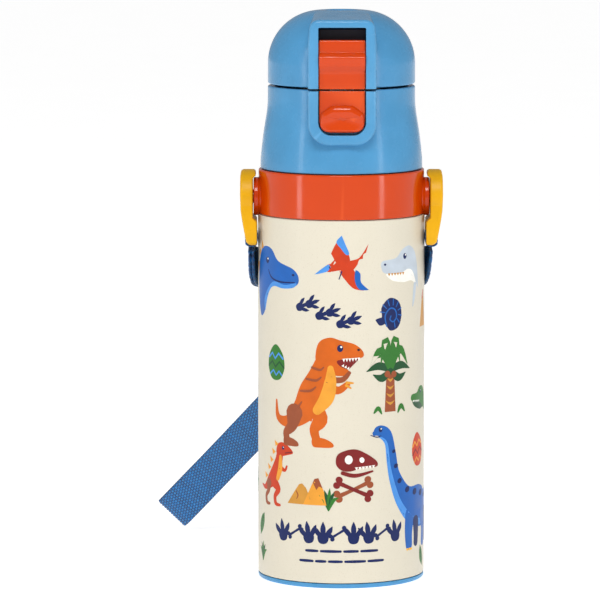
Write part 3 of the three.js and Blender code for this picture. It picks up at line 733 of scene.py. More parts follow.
# webbing: points of the route and the way the width lies, as in the part, in mm
webbing = {
    "width": 15.0, "thickness": 1.2, "pitch": 1.25, "bump": 0.3, "step": 0.3, "cells": 48, "scallop": 0.12,
}
longRoute = [
    ((34.1, 0, 125.8), (0, 1, 0)), ((34.05, 0.2, 124.0), (-0.01, 1, 0.02)),
    ((33.1, 3.6, 119.7), (-0.06, 0.84, 0.54)), ((30.9, 11.2, 117.6), (-0.2, 0.55, 0.81)),
    ((26.9, 19.2, 115.8), (-0.38, 0.45, 0.81)), ((21.6, 25.0, 112.0), (-0.5, 0.44, 0.75)),
    ((6.4, 38.0, 94.0), (-0.54, 0.38, 0.75)), ((-12.6, 54.3, 71.6), (-0.6, 0.25, 0.74)),
    ((-31.5, 70.6, 49.1), (-0.65, 0.14, 0.73)), ((-50.5, 86.9, 26.7), (-0.69, 0.05, 0.71)),
    ((-66.4, 100.6, 8.2), (-0.72, 0, 0.69)), ((-67.4, 102.4, 7.2), (-0.72, 0, 0.69)),
    ((-65.6, 102.5, 9.1), (-0.72, 0, 0.69)), ((-49.7, 88.8, 27.4), (-0.69, 0.05, 0.71)),
    ((-30.5, 72.4, 49.6), (-0.65, 0.14, 0.73)), ((-11.4, 56.3, 71.9), (-0.6, 0.25, 0.74)),
    ((-2.3, 49.2, 82.3), (-0.56, 0.32, 0.75)),
]
doubledRoute = [
    ((5.4, 43.0, 91.2), (-0.54, 0.34, 0.76)), ((7.5, 41.7, 93.7), (-0.5, 0.3, 0.8)),
    ((10.8, 43.0, 98.2), (-0.3, 0.2, 0.92)), ((11.0, 49.4, 102.8), (-0.1, 0.2, 0.97)),
    ((3.6, 53.4, 106.6), (0.06, 0.1, 0.99)), ((-5.2, 48.6, 109.6), (0.12, 0.1, 0.98)),
    ((-14.4, 36.4, 112.6), (0.13, 0.12, 0.98)), ((-26.5, 20.7, 115.6), (0.13, 0.16, 0.97)),
    ((-31.7, 11.6, 117.2), (0.15, 0.48, 0.86)), ((-33.7, 3.8, 119.6), (0.06, 0.83, 0.55)),
    ((-34.2, 0.2, 124.0), (0.01, 1, 0.03)), ((-34.2, 0, 125.8), (0, 1, 0)),
]


def smoothRoute(route, closed=False):
    # a centripetal curve through the points, then points an even step apart, each with its width direction
    places = [Vector(p) for p, _ in route]
    widths = [Vector(w).normalized() for _, w in route]
    count = len(places)
    if closed:
        wrap = [places[-1]] + places + places[:2]
        wide = widths + widths[:1]
        spans = count
    else:
        wrap = [2 * places[0] - places[1]] + places + [2 * places[-1] - places[-2]]
        wide = widths
        spans = count - 1
    fine = []
    for i in range(spans):
        p0, p1, p2, p3 = wrap[i:i + 4]
        knots = [0.0]
        for a, b in ((p0, p1), (p1, p2), (p2, p3)):
            knots.append(knots[-1] + max(1e-4, (b - a).length) ** 0.5)
        t0, t1, t2, t3 = knots
        for k in range(40):
            share = k / 40
            t = t1 + (t2 - t1) * share
            a1 = p0 * ((t1 - t) / (t1 - t0)) + p1 * ((t - t0) / (t1 - t0))
            a2 = p1 * ((t2 - t) / (t2 - t1)) + p2 * ((t - t1) / (t2 - t1))
            a3 = p2 * ((t3 - t) / (t3 - t2)) + p3 * ((t - t2) / (t3 - t2))
            b1 = a1 * ((t2 - t) / (t2 - t0)) + a2 * ((t - t0) / (t2 - t0))
            b2 = a2 * ((t3 - t) / (t3 - t1)) + a3 * ((t - t1) / (t3 - t1))
            middle = b1 * ((t2 - t) / (t2 - t1)) + b2 * ((t - t1) / (t2 - t1))
            fine.append((middle, wide[i].lerp(wide[i + 1], share)))
    fine.append((wrap[spans + 1], wide[spans]))
    run = [0.0]
    for (a, _), (b, _) in zip(fine, fine[1:]):
        run.append(run[-1] + (b - a).length)
    steps = max(8, round(run[-1] / webbing["step"]))
    even, at = [], 0
    for k in range(steps + 1):
        want = run[-1] * k / steps
        while at < len(run) - 2 and run[at + 1] < want:
            at += 1
        share = (want - run[at]) / max(1e-6, run[at + 1] - run[at])
        even.append((fine[at][0].lerp(fine[at + 1][0], share), fine[at][1].lerp(fine[at + 1][1], share)))
    return even, run[-1]


def weaveRise(across, along):
    # yarn crowns in rows across the width, each row shifted by half a yarn
    row = math.floor(along / webbing["pitch"])
    shift = 0.5 * (row % 2)
    wave = abs(math.sin(math.pi * (across / webbing["pitch"] + shift)))
    swell = abs(math.sin(math.pi * along / webbing["pitch"]))
    strong = 1.0 if row % 2 else 0.86
    return strong * (wave * swell) ** 0.55


def weave(name, route, layers, closed=False):
    # returns the woven mesh, with one or two layers of webbing, and its length along the middle
    even, length = smoothRoute(route, closed)
    points, rises, faces = [], [], []
    for shift in ([0] if layers == 1 else [-0.5, 0.5]):
        weaveLayer(points, rises, faces, even, length, shift * webbing["thickness"], closed)
    mesh = bpy.data.meshes.new(name)
    mesh.from_pydata([(x * mm, y * mm, z * mm) for x, y, z in points], [], faces)
    work = bmesh.new()
    work.from_mesh(mesh)
    bmesh.ops.recalc_face_normals(work, faces=work.faces)
    work.to_mesh(mesh)
    work.free()
    mesh.attributes.new("rise", "FLOAT", "POINT").data.foreach_set("value", rises)
    smoothed(mesh, 80)
    return mesh, length


def weaveLayer(points, rises, faces, even, length, shift, closed):
    half = webbing["width"] / 2
    thick = webbing["thickness"] / 2
    cells = webbing["cells"]
    first = len(points)
    total = len(even)
    for i, (place, wide) in enumerate(even):
        if closed and i == total - 1:
            break
        ahead = even[(i + 1) % (total - 1) if closed else min(i + 1, total - 1)][0]
        behind = even[(i - 1) % (total - 1) if closed else max(i - 1, 0)][0]
        along = (ahead - behind).normalized()
        across = (wide - along * wide.dot(along)).normalized()
        out = along.cross(across)
        run = length * i / (total - 1)
        scallop = webbing["scallop"] * abs(math.sin(math.pi * run / webbing["pitch"]))
        for face in (1, -1):
            for k in range(cells + 1):
                share = k / cells if face > 0 else 1 - k / cells
                u = (share - 0.5) * 2
                edge = 1 - max(0, (abs(u) - 0.93) / 0.07) ** 2
                rise = weaveRise(u * half, run) * max(0.25, edge)
                lift = thick * (0.55 + 0.45 * edge) - webbing["bump"] * (1 - rise)
                reach = half - webbing["scallop"] + scallop
                points.append(tuple(place + across * u * reach + out * (face * lift + shift)))
                rises.append(rise)
    ringSize = 2 * (cells + 1)
    rows = total - 1 if closed else total
    for i in range(rows if closed else rows - 1):
        n = (i + 1) % rows
        for k in range(ringSize):
            a, b = k, (k + 1) % ringSize
            quad = [i * ringSize + a, i * ringSize + b, n * ringSize + b, n * ringSize + a]
            faces.append([first + corner for corner in quad])
    if not closed:
        for start in (first, first + (rows - 1) * ringSize):
            for k in range(cells):
                faces.append([start + k, start + k + 1, start + ringSize - 2 - k, start + ringSize - 1 - k])


def strapEndRoute(side):
    # round the ring's bar
    corners = filleted([(32.3, 127.5, 1.1), (36.0, 127.5, 1.1), (36.0, 132.3, 1.1), (32.3, 132.3, 1.1)])
    return [((side * x, 0, z), (0, 1, 0)) for x, z in corners]


def makeStrap():
    for name, route, layers, ring, node in (
            ("strapLongRun", longRoute, 1, "ring_right", "strap_long_run"),
            ("strapDoubledRun", doubledRoute, 2, "ring_left", "strap_doubled_run")):
        mesh, length = weave(name, route, layers)
        piece = bpy.data.objects.new(name, mesh)
        scene.collection.objects.link(piece)
        mesh.materials.append(strapWebbing)
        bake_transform(piece)
        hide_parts(node)
        print(f"{name} is {length:.0f} mm along its middle")
    for side, word in ((1, "Right"), (-1, "Left")):
        mesh, length = weave("strapEnd" + word, strapEndRoute(side), 1, closed=True)
        piece = addPiece("strapEnd" + word, mesh, strapWebbing, "ring_" + word.lower(),
                         ["strap_end_" + word.lower()])


adjuster = {
    "middle": (1.5, 46.3, 86.6), "across": (-0.54, 0.34, 0.76), "along": (0.565, -0.485, 0.668),
    "thickness": 2.2,
}


def makeAdjuster(s):
    # flat slider with two slots
    across = Vector(s["across"]).normalized()
    along = Vector(s["along"])
    along = (along - across * along.dot(across)).normalized()
    out = along.cross(across)
    middle = Vector(s["middle"])
    outline = panelOutline(5.6, -10, 10, 1.8, 1.8)
    slots = [[(u + shift, v) for u, v in panelOutline(1.5, -8, 8, 0.5, 0.5)] for shift in (-2.6, 2.6)]
    t = s["thickness"] / 2
    shape = slab([outline] + slots, bevelled(-t, t, 0.45, 0.45, 4),
                 lambda u, v, d: tuple(middle + along * u + across * v + out * d))
    addShape("strapAdjuster", shape, darkTrackPlastic, "bottle", ["strap_slider"])


makeStrap()
makeAdjuster(adjuster)
print("strap ready")

# cap: collar with the lower half of the button frame
hinge = {"y": 30.2, "z": 188.2, "pin": 1.2, "bore": 1.5, "knuckle": 3.0}
frameShape = {
    "half": 12.75, "front": -32.5, "bottom": 167.5, "top": 214.9, "bottomRadius": 8, "windowHalf": 8.9,
    "windowBottom": 171.3, "windowTop": 211.5, "windowRadius": 5, "split": (187.8, 188.7), "edge": 1.25,
    "innerEdge": 0.3,
}
collar = {
    "profile": [(28.4, 156.6, 0.2), (30.7, 156.6, 0.45), (30.62, 160.5, 4), (30.2, 165, 12), (29.6, 169.6, 12),
                (28.9, 174.2, 12), (28.25, 178.2, 12), (27.95, 181.4, 8), (27.9, 184.5, 0),
                (27.9, 187.85, 0.55), (25.4, 187.85, 0.3), (25.4, 183.5, 0.4), (16.4, 183.5, 0.4),
                (16.4, 181.3, 0.3), (25.4, 181.3, 0.2), (25.4, 179, 0), (26, 175.5, 0), (27.1, 171, 0),
                (28.0, 165, 0), (28.4, 160, 0)],
}


def frameRows(outline, isInner, backOf, cutAt, s):
    # rows from the frame's face to its back: a round outer edge, a crisp inner one, square where it is cut
    loop = outline if area(outline) > 0 else outline[::-1]
    edge, inner = s["edge"], s["innerEdge"]
    steps = 5
    rows = []
    for k in range(steps + 1):
        a = math.pi / 2 * k / steps
        outerInset = insetLoop(loop, edge * (1 - math.sin(a)))
        innerInset = insetLoop(loop, inner * (1 - math.sin(a)))
        row = []
        for i, p in enumerate(loop):
            if isInner(p):
                u, v, d = *innerInset[i], inner * (1 - math.cos(a))
            else:
                u, v, d = *outerInset[i], edge * (1 - math.cos(a))
            if abs(p[1] - cutAt) < 0.05:
                v = p[1]
            row.append((u, s["front"] + d, v))
        rows.append(row)
    rows.append([(p[0], backOf(p), p[1]) for p in loop])
    return rows


def rowWalls(rows):
    # quads between closed rows of equal length
    points = [p for row in rows for p in row]
    count = len(rows[0])
    faces = []
    for r in range(len(rows) - 1):
        for k in range(count):
            n = (k + 1) % count
            faces.append([r * count + k, r * count + n, (r + 1) * count + n, (r + 1) * count + k])
    return points, faces


def blockFromRows(rows, inner):
    # the rows become walls; front and back are laced between the outer and the inner edge
    points, faces = rowWalls(rows)
    count = len(rows[0])
    outerEdge = [k for k in range(count) if k not in inner]
    innerEdge = sorted(inner, reverse=True)
    for start in (0, (len(rows) - 1) * count):
        i, j = 0, 0
        while i < len(outerEdge) - 1 or j < len(innerEdge) - 1:
            a, b = start + outerEdge[i], start + innerEdge[j]
            nextA = start + outerEdge[min(i + 1, len(outerEdge) - 1)]
            nextB = start + innerEdge[min(j + 1, len(innerEdge) - 1)]
            alongA = (Vector(points[nextA]) - Vector(points[b])).length if nextA != a else 1e9
            alongB = (Vector(points[nextB]) - Vector(points[a])).length if nextB != b else 1e9
            if alongA <= alongB:
                faces.append([a, nextA, b])
                i += 1
            else:
                faces.append([a, nextB, b])
                j += 1
    return points, faces


def innerCorners(outline, isInner):
    loop = outline if area(outline) > 0 else outline[::-1]
    return {k for k, p in enumerate(loop) if isInner(p)}


def knuckleOutline(low):
    # side view of a hinge knuckle: round about the pin, with a foot on the wall
    y, z, r = hinge["y"], hinge["z"], hinge["knuckle"]
    if low:
        foot, top = [(26.2, 184.2, 0.3), (29.6, 184.2, 1.5)], [(26.2, 187.6, 0.2)]
        return filleted(foot + arcPoints(y, z, r, -42, 178, 26) + top, 0)
    foot, top = [(25.6, 189.1, 0.2), (27.4, 188.9, 0.3)], [(25.6, z + r + 2.4, 2)]
    return filleted(foot + arcPoints(y, z, r, -178, 92, 30) + top, 0)


def knuckle(x0, x1, low):
    bore = [(hinge["y"] + hinge["bore"] * math.cos(a), hinge["z"] + hinge["bore"] * math.sin(a))
            for a in [2 * math.pi * k / 28 for k in range(28)]]
    return slab([knuckleOutline(low), bore], bevelled(x0, x1, 0.3, 0.3), sidePlane)


def makeCollar(s, f):
    shell = meshFrom("collarShell", turned(filleted(s["profile"]), 240))
    w, b = f["windowHalf"], f["windowBottom"]
    relief = rodAlongX(3.4, -8.4, 8.4, hinge["y"], hinge["z"], 0)
    shell = cutAway(shell, [
        slab([panelOutline(w, b, 192, f["windowRadius"], 0.1)], [(-40, 0), (-28.4, 0)], frontPlane),
        boxShape(-w, w, -40, -24, 174.2, 192), boxShape(-8.3, 8.3, -27, -17.9, 183, 192), relief])
    half, top = f["half"], f["split"][0]
    outer = [(half, top, 0), (half, f["bottom"], f["bottomRadius"]), (-half, f["bottom"], f["bottomRadius"]),
             (-half, top, 0)]
    inner = [(-w, top, 0), (-w, b, f["windowRadius"]), (w, b, f["windowRadius"]), (w, top, 0)]
    outline = filleted(outer + inner)

    def isInner(p):
        return abs(p[0]) < w + 0.4 and p[1] > b - 0.4

    def backOf(p):
        return -math.sqrt(max(10, 27.6 ** 2 - p[0] ** 2))

    block = blockFromRows(frameRows(outline, isInner, backOf, top, f), innerCorners(outline, isInner))
    housing = joined([
        slab([panelOutline(10.4, 172.9, 183.4, 1, 0.3)], bevelled(-24, -22.6, 0, 0.4), frontPlane),
        boxShape(-10.4, -w, -27, -23.5, 172.9, 183.4), boxShape(w, 10.4, -27, -23.5, 172.9, 183.4)])
    extras = (block, housing, knuckle(-13.4, -8.4, True), knuckle(8.4, 13.4, True))
    gathered(shell, [meshFrom("part", shape) for shape in extras])
    smoothed(shell, 34)
    addPiece("collarShell", shell, blueLidPlastic, "cap", ["collar_shell"])


makeCollar(collar, frameShape)

# cap core: the cap's own thread inside, tower for the mouthpiece
core = {
    "profile": [(26.7, 157.2, 0.3), (26.7, 171.6, 0.6), (25.9, 172.4, 0.4), (15.6, 172.4, 0.5),
                (15.6, 184.4, 0.4), (13.9, 184.4, 0.3), (13.9, 170.6, 0.3), (24.8, 170.6, 0.5),
                (24.8, 157.2, 0.3)],
}
spoutProfile = [(9.6, 174, 0.2), (13.5, 174, 0.3), (13.5, 184.8, 0.3), (15.4, 184.8, 0.3), (15.4, 186.1, 0.6),
                (13.0, 186.9, 1.2), (12.5, 194, 8), (11.8, 201.6, 6), (11.75, 204.2, 1.2), (10.6, 205.1, 0.45),
                (9.85, 204.7, 0.4), (9.6, 202, 3)]
sealProfile = [(0, 203.6, 0), (4.4, 203.6, 0.8), (7.0, 205.5, 1), (12.9, 205.5, 0.25), (12.9, 208.7, 0.4),
               (0, 208.7, 0)]


def makeCore():
    thread = threadRidge(25.1, 23.45, 160.8, 1.2, 5.0)
    addShape("capCore", joined([turned(filleted(core["profile"]), 180), thread]), whiteLinerPlastic, "cap",
             ["cap_core"])
    seal = turned(filleted([(19.2, 168.7, 0.4), (22.8, 168.6, 0.4), (23.4, 169.3, 0.3), (23.4, 170.2, 0.3),
                            (19.8, 170.2, 0.3), (19, 169.6, 0.3)]), 140)
    addShape("capSeal", seal, paleSilicone, "seal", ["cap_seal"])
    spout = turned(filleted(spoutProfile), 160)
    addShape("mouthpiece", spout, whiteLinerPlastic, "cap", ["spout"])
    gasket = turned(filleted([(10.2, 172.2), (13.4, 172.2), (13.55, 172.95), (13.4, 173.7), (10.2, 173.7),
                              (10.1, 173)], 0.35), 120)
    addShape("mouthpieceGasket", gasket, paleSilicone, "cap", ["spout_gasket"])


# height of the spring behind the button, and of the button's cup for it
springHeight = 178.5


def makeHingeSteel():
    pin = rodAlongX(hinge["pin"], -12.3, 12.3, hinge["y"], hinge["z"], 0.35)
    addShape("hingePin", pin, wireSteel, "cap", ["hinge_pin"])
    spring = coil(2.2, 0.35, 6, 5, lambda a, b, run: (run - 3, hinge["y"] + a, hinge["z"] + b))
    addShape("lidSpring", spring, wireSteel, "cap", ["lid_spring"])
    spring = coil(2.2, 0.3, 4, 5, lambda a, b, run: (a, run - 28.4, springHeight + b))
    piece = addShape("buttonSpring", spring, wireSteel, "cap", ["button_spring"])
    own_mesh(piece)


makeCore()
makeHingeSteel()
print("cap ready")

# release button: flat upper plate, swollen thumb pad below with a soft upper lip
button = {
    "half": 8.55, "bottom": 172.3, "top": 187.85, "front": -31.5, "back": -29.0, "cornerRadius": 4.7,
    "padHalf": 8.35, "padBottom": 172.5, "padTop": 182.7, "padProud": 2.4, "padRoll": 2.6, "padEdge": 0.9,
    "padSteps": 10, "crownRings": 6, "crownDish": 0.25,
}


def makeButton(s):
    outline = panelOutline(s["half"], s["bottom"], s["top"], s["cornerRadius"], 0.25)
    plate = slab([outline], bevelled(s["front"], s["back"], 0.35, 0.2), frontPlane)
    relief = boxShape(-10, 10, -30.4, -28, 171, 174.7)
    mesh = cutAway(meshFrom("releaseButton", plate), [relief])
    # the thumb pad's rim is rolled over: widely at the top lip, tightly at the sides and the bottom
    low, high, wide = s["padBottom"], s["padTop"], s["padHalf"]
    pad = filleted([(-wide, low, 4.5), (wide, low, 4.5), (wide, high - 3.4, 2.5), (wide - 4.6, high, 4.5),
                    (4.6 - wide, high, 4.5), (-wide, high - 3.4, 2.5)])
    rows = []
    for k in range(s["padSteps"] + 1):
        a = math.pi / 2 * k / s["padSteps"]
        tight = insetLoop(pad, s["padEdge"] * (1 - math.cos(a)))
        broad = insetLoop(pad, s["padRoll"] * (1 - math.cos(a)))
        row = []
        for (u1, v1), (u2, v2), (_, v0) in zip(tight, broad, pad):
            share = min(1, max(0, (v0 - low - 3.5) / (high - low - 3.5)))
            u, v = u1 + (u2 - u1) * share, v1 + (v2 - v1) * share
            lift = s["padProud"] * math.sin(a) * (0.62 + 0.38 * share)
            row.append((u, s["front"] + 0.1 - lift, v))
        rows.append(row)
    rows[0] = [(u, s["front"] + 0.6, v) for u, v in pad]
    # the crown is filled by shrinking rings that settle to a slight dish
    rings, middle = s["crownRings"], (low + high) / 2
    rim = rows[-1]
    for ring in range(1, rings + 1):
        share = 1 - ring / (rings + 1)
        dish = s["crownDish"] * math.sin(math.pi / 2 * (1 - share))
        rows.append([(u * share, y + dish, middle + (v - middle) * share) for u, y, v in rim])
    points, faces = rowWalls(rows)
    count = len(pad)
    faces.append(list(range(len(points) - count, len(points))))
    faces.append(list(range(count))[::-1])
    shapes = [(points, faces)]
    for side in (-1, 1):
        x0, x1 = sorted((side * 5.2, side * 6.8))
        shapes.append(boxShape(x0, x1, -29.4, -20.2, 184, 186.4, 0.25))
    shapes.append(boxShape(-6.8, 6.8, -21.6, -20.2, 184, 186.4, 0.25))
    cup = turned(filleted([(2.9, 0), (3.6, 0), (3.6, 1.6), (2.9, 1.6)], 0.15), 48)
    shapes.append(([(x, -29.2 + z, springHeight + y) for x, y, z in cup[0]], cup[1]))
    gathered(mesh, [meshFrom("part", shape) for shape in shapes])
    smoothed(mesh, 30)
    addPiece("releaseButton", mesh, orangePlastic, "button", ["release_button"])


makeButton(button)

# lid: domed shell with the upper half of the frame
lid = {"radius": 27.9, "corner": 20, "cornerHeight": 196.3, "wall": 2.7, "bottom": 188.7, "shoulderR": 7.9,
       "dishHalf": (6.2, 3.9), "dishDepth": 0.55, "dishTop": 216.5, "dishY": -1.0}
# how the frame's top runs back to meet the dome: it starts at one height and is full a little above it
facet = {"from": 204, "over": 8.5, "sideDepth": 7.2, "topDepth": 20.5, "climb": 1.9, "narrowing": 0.07,
         "windowBack": -24.3, "steps": 12}


def makeLid(s, f, back):
    outside = arcPoints(s["shoulderR"], s["cornerHeight"], s["corner"], 0, 90, 48)
    inside = arcPoints(s["shoulderR"], s["cornerHeight"], s["corner"] - s["wall"], 90, 0, 30)
    r = s["radius"]
    profile = filleted(
        [(r - s["wall"], s["bottom"], 0.2), (r, s["bottom"], 0.6), (r, s["bottom"] + 3, 0)] + outside
        + [(5.2, 216.42, 0), (2.6, 216.5, 0), (0, 216.52, 0)], closed=False)
    profile += filleted([(0, 213.6, 0)] + inside + [(r - s["wall"], s["bottom"], 0)], closed=False)
    shell = meshFrom("lidShell", turned(profile, 240, ring=False))
    w = f["windowHalf"]
    dishLoop = [(s["dishHalf"][0] * math.cos(a), s["dishHalf"][1] * math.sin(a))
                for a in [2 * math.pi * k / 72 for k in range(72)]]
    top, deep = s["dishTop"], s["dishDepth"]
    dish = slab([dishLoop], [(top - deep, 0.9), (top - deep * 0.8, 0.45), (top - 0.15, 0.08), (top + 2, -0.2)],
                lambda u, v, d: (u, v + s["dishY"], d))
    reliefs = [rodAlongX(3.4, x0, x1, hinge["y"], hinge["z"], 0)
               for x0, x1 in ((-14, -8.1), (-3.8, 3.8), (8.1, 14))]
    shell = cutAway(shell, [
        boxShape(-w, w, -40, -26.3, 180, f["windowTop"]), boxShape(-10.05, 10.05, -29.8, -28.2, 187, 210.5),
        dish] + reliefs)
    half, bottom, top = f["half"], f["split"][1], f["top"] - 0.5
    outer = [(-half, bottom, 0), (-half, 205, 8), (-half + 0.7, top, 3.6), (half - 0.7, top, 3.6),
             (half, 205, 8), (half, bottom, 0)]
    inner = [(w, bottom, 0), (w, f["windowTop"], 0.5), (-w, f["windowTop"], 0.5), (-w, bottom, 0)]
    outline = filleted(outer + inner)

    def isInner(p):
        return abs(p[0]) < w + 0.4 and p[1] < f["windowTop"] + 0.4

    rows = frameRows(outline, isInner, lambda p: back["windowBack"], bottom, f)
    loop = outline if area(outline) > 0 else outline[::-1]
    # the flat back is taken off again and the facet is built on in its place
    rows.pop()
    front = rows[-1]
    for step in range(1, back["steps"] + 1):
        share = step / back["steps"]
        row = []
        for k, p in enumerate(loop):
            if isInner(p):
                row.append((p[0], front[k][1] + (back["windowBack"] - front[k][1]) * share, p[1]))
                continue
            high = min(1, max(0, (p[1] - back["from"]) / back["over"]))
            depth = back["sideDepth"] + (back["topDepth"] - back["sideDepth"]) * high * high
            y = front[k][1] + depth * share
            z = p[1] + high * (back["climb"] * share)
            x = p[0] * (1 - back["narrowing"] * high * share)
            row.append((x, y, z))
        rows.append(row)
    block = blockFromRows(rows, innerCorners(outline, isInner))
    extras = (block, knuckle(-8.1, -3.8, False), knuckle(3.8, 8.1, False))
    gathered(shell, [meshFrom("part", shape) for shape in extras])
    smoothed(shell, 34)
    addPiece("lidShell", shell, blueLidPlastic, "lid", ["lid_shell"])


def makeLiner(s):
    outer = s["radius"] - s["wall"] - 0.3
    dome = s["corner"] - s["wall"] - 0.3
    wall = 1.3
    skin = arcPoints(s["shoulderR"], s["cornerHeight"], dome, 0, 90, 24)
    under = arcPoints(s["shoulderR"], s["cornerHeight"], dome - wall, 56, 0, 20)
    profile = filleted(
        [(outer - wall, 189.5, 0.3), (outer, 189.5, 0.3)] + skin + [(0, s["cornerHeight"] + dome, 0)],
        closed=False)
    seat = [(0, 209, 0), (13.2, 209, 0.2), (13.2, 206.6, 0.3), (14.4, 206.6, 0.4), (14.4, 209.4, 0.8)]
    profile += filleted(seat + under + [(outer - wall, 189.5, 0)], closed=False)
    roomForCatch = boxShape(-5.6, 5.6, -30, -19, 180, 197.5, 0.8)
    mesh = cutAway(meshFrom("lidLiner", turned(profile, 180, ring=False)), [roomForCatch])
    smoothed(mesh, 34)
    addPiece("lidLiner", mesh, whiteLinerPlastic, "lid", ["lid_liner"])
    seal = turned(filleted(sealProfile, closed=False), 120, ring=False)
    addShape("mouthpieceSeal", seal, paleSilicone, "lid", ["spout_seal"])
    catchOutline = filleted([(-24.4, 196.6, 0.2), (-24.4, 184.6, 0.3), (-22.6, 184.6, 0.5), (-22.1, 185.4, 0.3),
                             (-23.2, 186.4, 0.2), (-23.2, 196.6, 0.2)])
    catch = slab([catchOutline], bevelled(-4.4, 4.4, 0.25, 0.25), sidePlane)
    addShape("lidCatch", catch, whiteLinerPlastic, "lid", ["lid_catch"])


makeLid(lid, frameShape, facet)
makeLiner(lid)

# lock slider in the lid's window
slider = {"half": 8.6, "bottom": 188.55, "top": 206.8, "front": -31.4, "back": -27.8}


def makeLock(s):
    side = filleted([
        (s["back"], s["bottom"], 0.2), (s["front"], s["bottom"], 0.3), (s["front"], 194.8, 2.6),
        (-33.1, 197.4, 2.2), (-33.5, 200.5, 0.9), (-32.4, 201.7, 0.5), (-32.0, 201.8, 0.3),
        (s["front"], 202.3, 0.3), (s["front"], s["top"], 0.6), (s["back"], s["top"], 0.2)])
    plate = slab([side], bevelled(-s["half"], s["half"], 0.4, 0.4), sidePlane)
    rails = boxShape(-9.7, 9.7, -29.4, -28.6, s["bottom"] + 1, s["top"] - 1, 0.1)
    mesh = cutAway(meshFrom("lockSlider", plate), [boxShape(-4, 4, -30, -27, 191, 204.4)])
    gathered(mesh, [meshFrom("part", rails)])
    smoothed(mesh, 30)
    addPiece("lockSlider", mesh, orangePlastic, "lock", ["lock_slider"])
    leaf = filleted([(-29.6, 191.6, 0), (-29.3, 191.4, 0.1), (-27.8, 197.4, 2), (-29.3, 203.8, 0.1),
                     (-29.6, 203.6, 0), (-28.15, 197.4, 2)])
    addShape("lockLeaf", slab([leaf], bevelled(-3, 3, 0.08, 0.08, 2), sidePlane), wireSteel, "lock",
             ["lock_leaf"])
    # the track's near-black colour is painted shade for the gap above the slider
    track = boxShape(-8.6, 8.6, -27.4, -26.6, 188.85, 210.6, 0.15)
    addShape("lockTrack", track, darkTrackPlastic, "lid", ["lock_track"])


makeLock(slider)
print("lid ready")

# the print: thin layers of ink, drawn flat in mm and wrapped round the body
# u runs round the wall from the middle of the front, v is height
inks = {
    "orangeInk": (200, 92, 14), "amberInk": (222, 150, 48), "redInk": (192, 56, 18),
    "blueInk": (24, 92, 172), "skyInk": (72, 140, 214), "navyInk": (12, 30, 84),
    "greenInk": (46, 112, 40), "darkGreenInk": (24, 74, 40), "greyInk": (186, 196, 206),
    "paleInk": (238, 236, 228), "ochreInk": (196, 138, 52), "brownInk": (146, 74, 42),
    "darkRedInk": (120, 28, 28), "yellowInk": (240, 180, 34), "blackInk": (32, 26, 40),
}
inkShapes = {name: [] for name in inks}
printLayer = {"first": 0.03, "each": 0.005, "slice": 1.6}


def curvePoint(p1, m1, p2, m2, t):
    # cubic from p1 to p2 with the slopes m1 and m2
    h1, h2 = 2 * t ** 3 - 3 * t ** 2 + 1, t ** 3 - 2 * t ** 2 + t
    h3, h4 = 3 * t ** 2 - 2 * t ** 3, t ** 3 - t ** 2
    return p1 * h1 + m1 * h2 + p2 * h3 + m2 * h4


def smoothLoop(points, perSpan=6):
    # closed outline through the points; a third number marks a sharp corner
    result = []
    count = len(points)
    for i in range(count):
        p0, p1 = Vector(points[i - 1][:2]), Vector(points[i][:2])
        p2, p3 = Vector(points[(i + 1) % count][:2]), Vector(points[(i + 2) % count][:2])
        m1 = Vector((0, 0)) if len(points[i]) > 2 else (p2 - p0) / 2
        m2 = Vector((0, 0)) if len(points[(i + 1) % count]) > 2 else (p3 - p1) / 2
        result += [tuple(curvePoint(p1, m1, p2, m2, k / perSpan)) for k in range(perSpan)]
    return result


def limb(points, perSpan=6):
    # a stroke with its own width at each point (u, v, width), round at both ends
    line = []
    count = len(points)
    for i in range(count - 1):
        p0, p1 = Vector(points[max(i - 1, 0)]), Vector(points[i])
        p2, p3 = Vector(points[i + 1]), Vector(points[min(i + 2, count - 1)])
        for k in range(perSpan + (i == count - 2)):
            line.append(curvePoint(p1, (p2 - p0) / 2, p2, (p3 - p1) / 2, k / perSpan))
    left, right = [], []
    for i, p in enumerate(line):
        along = (line[min(i + 1, len(line) - 1)] - line[max(i - 1, 0)]).to_2d().normalized()
        side = Vector((-along.y, along.x)) * max(p.z, 0.12) / 2
        left.append(p.to_2d() + side)
        right.append(p.to_2d() - side)
    result = left + capPoints(line[-1].to_2d(), left[-1]) + right[::-1] + capPoints(line[0].to_2d(), right[0])
    return [tuple(p) for p in result]


def capPoints(centre, start, steps=6):
    arm = start - centre
    points = []
    for k in range(1, steps):
        c, s = math.cos(-math.pi * k / steps), math.sin(-math.pi * k / steps)
        points.append(centre + Vector((arm.x * c - arm.y * s, arm.x * s + arm.y * c)))
    return points


def oval(u, v, halfWide, halfHigh, tilt=0, steps=22):
    c, s = math.cos(math.radians(tilt)), math.sin(math.radians(tilt))
    points = []
    for k in range(steps):
        a = 2 * math.pi * k / steps
        x, y = halfWide * math.cos(a), halfHigh * math.sin(a)
        points.append((u + x * c - y * s, v + x * s + y * c))
    return points


def stamp(motif, at, size=1.0, turn=0, flip=False, recolour=None):
    # lays one drawing down at (u, v); later shapes lie over earlier ones
    c, s = math.cos(math.radians(turn)), math.sin(math.radians(turn))
    layer = 0
    for ink, outline in motif:
        ink = (recolour or {}).get(ink, ink)
        placed = []
        for x, y in outline:
            x = -x * size if flip else x * size
            y = y * size
            placed.append((at[0] + x * c - y * s, at[1] + x * s + y * c))
        rise = printLayer["first"] + printLayer["each"] * layer
        layer += 1
        inkShapes[ink].append((placed, rise))


def eye(u, v, r, ink="navyInk"):
    return [(ink, oval(u, v, r * 0.85, r)), ("paleInk", oval(u + r * 0.3, v + r * 0.4, r * 0.3, r * 0.3))]


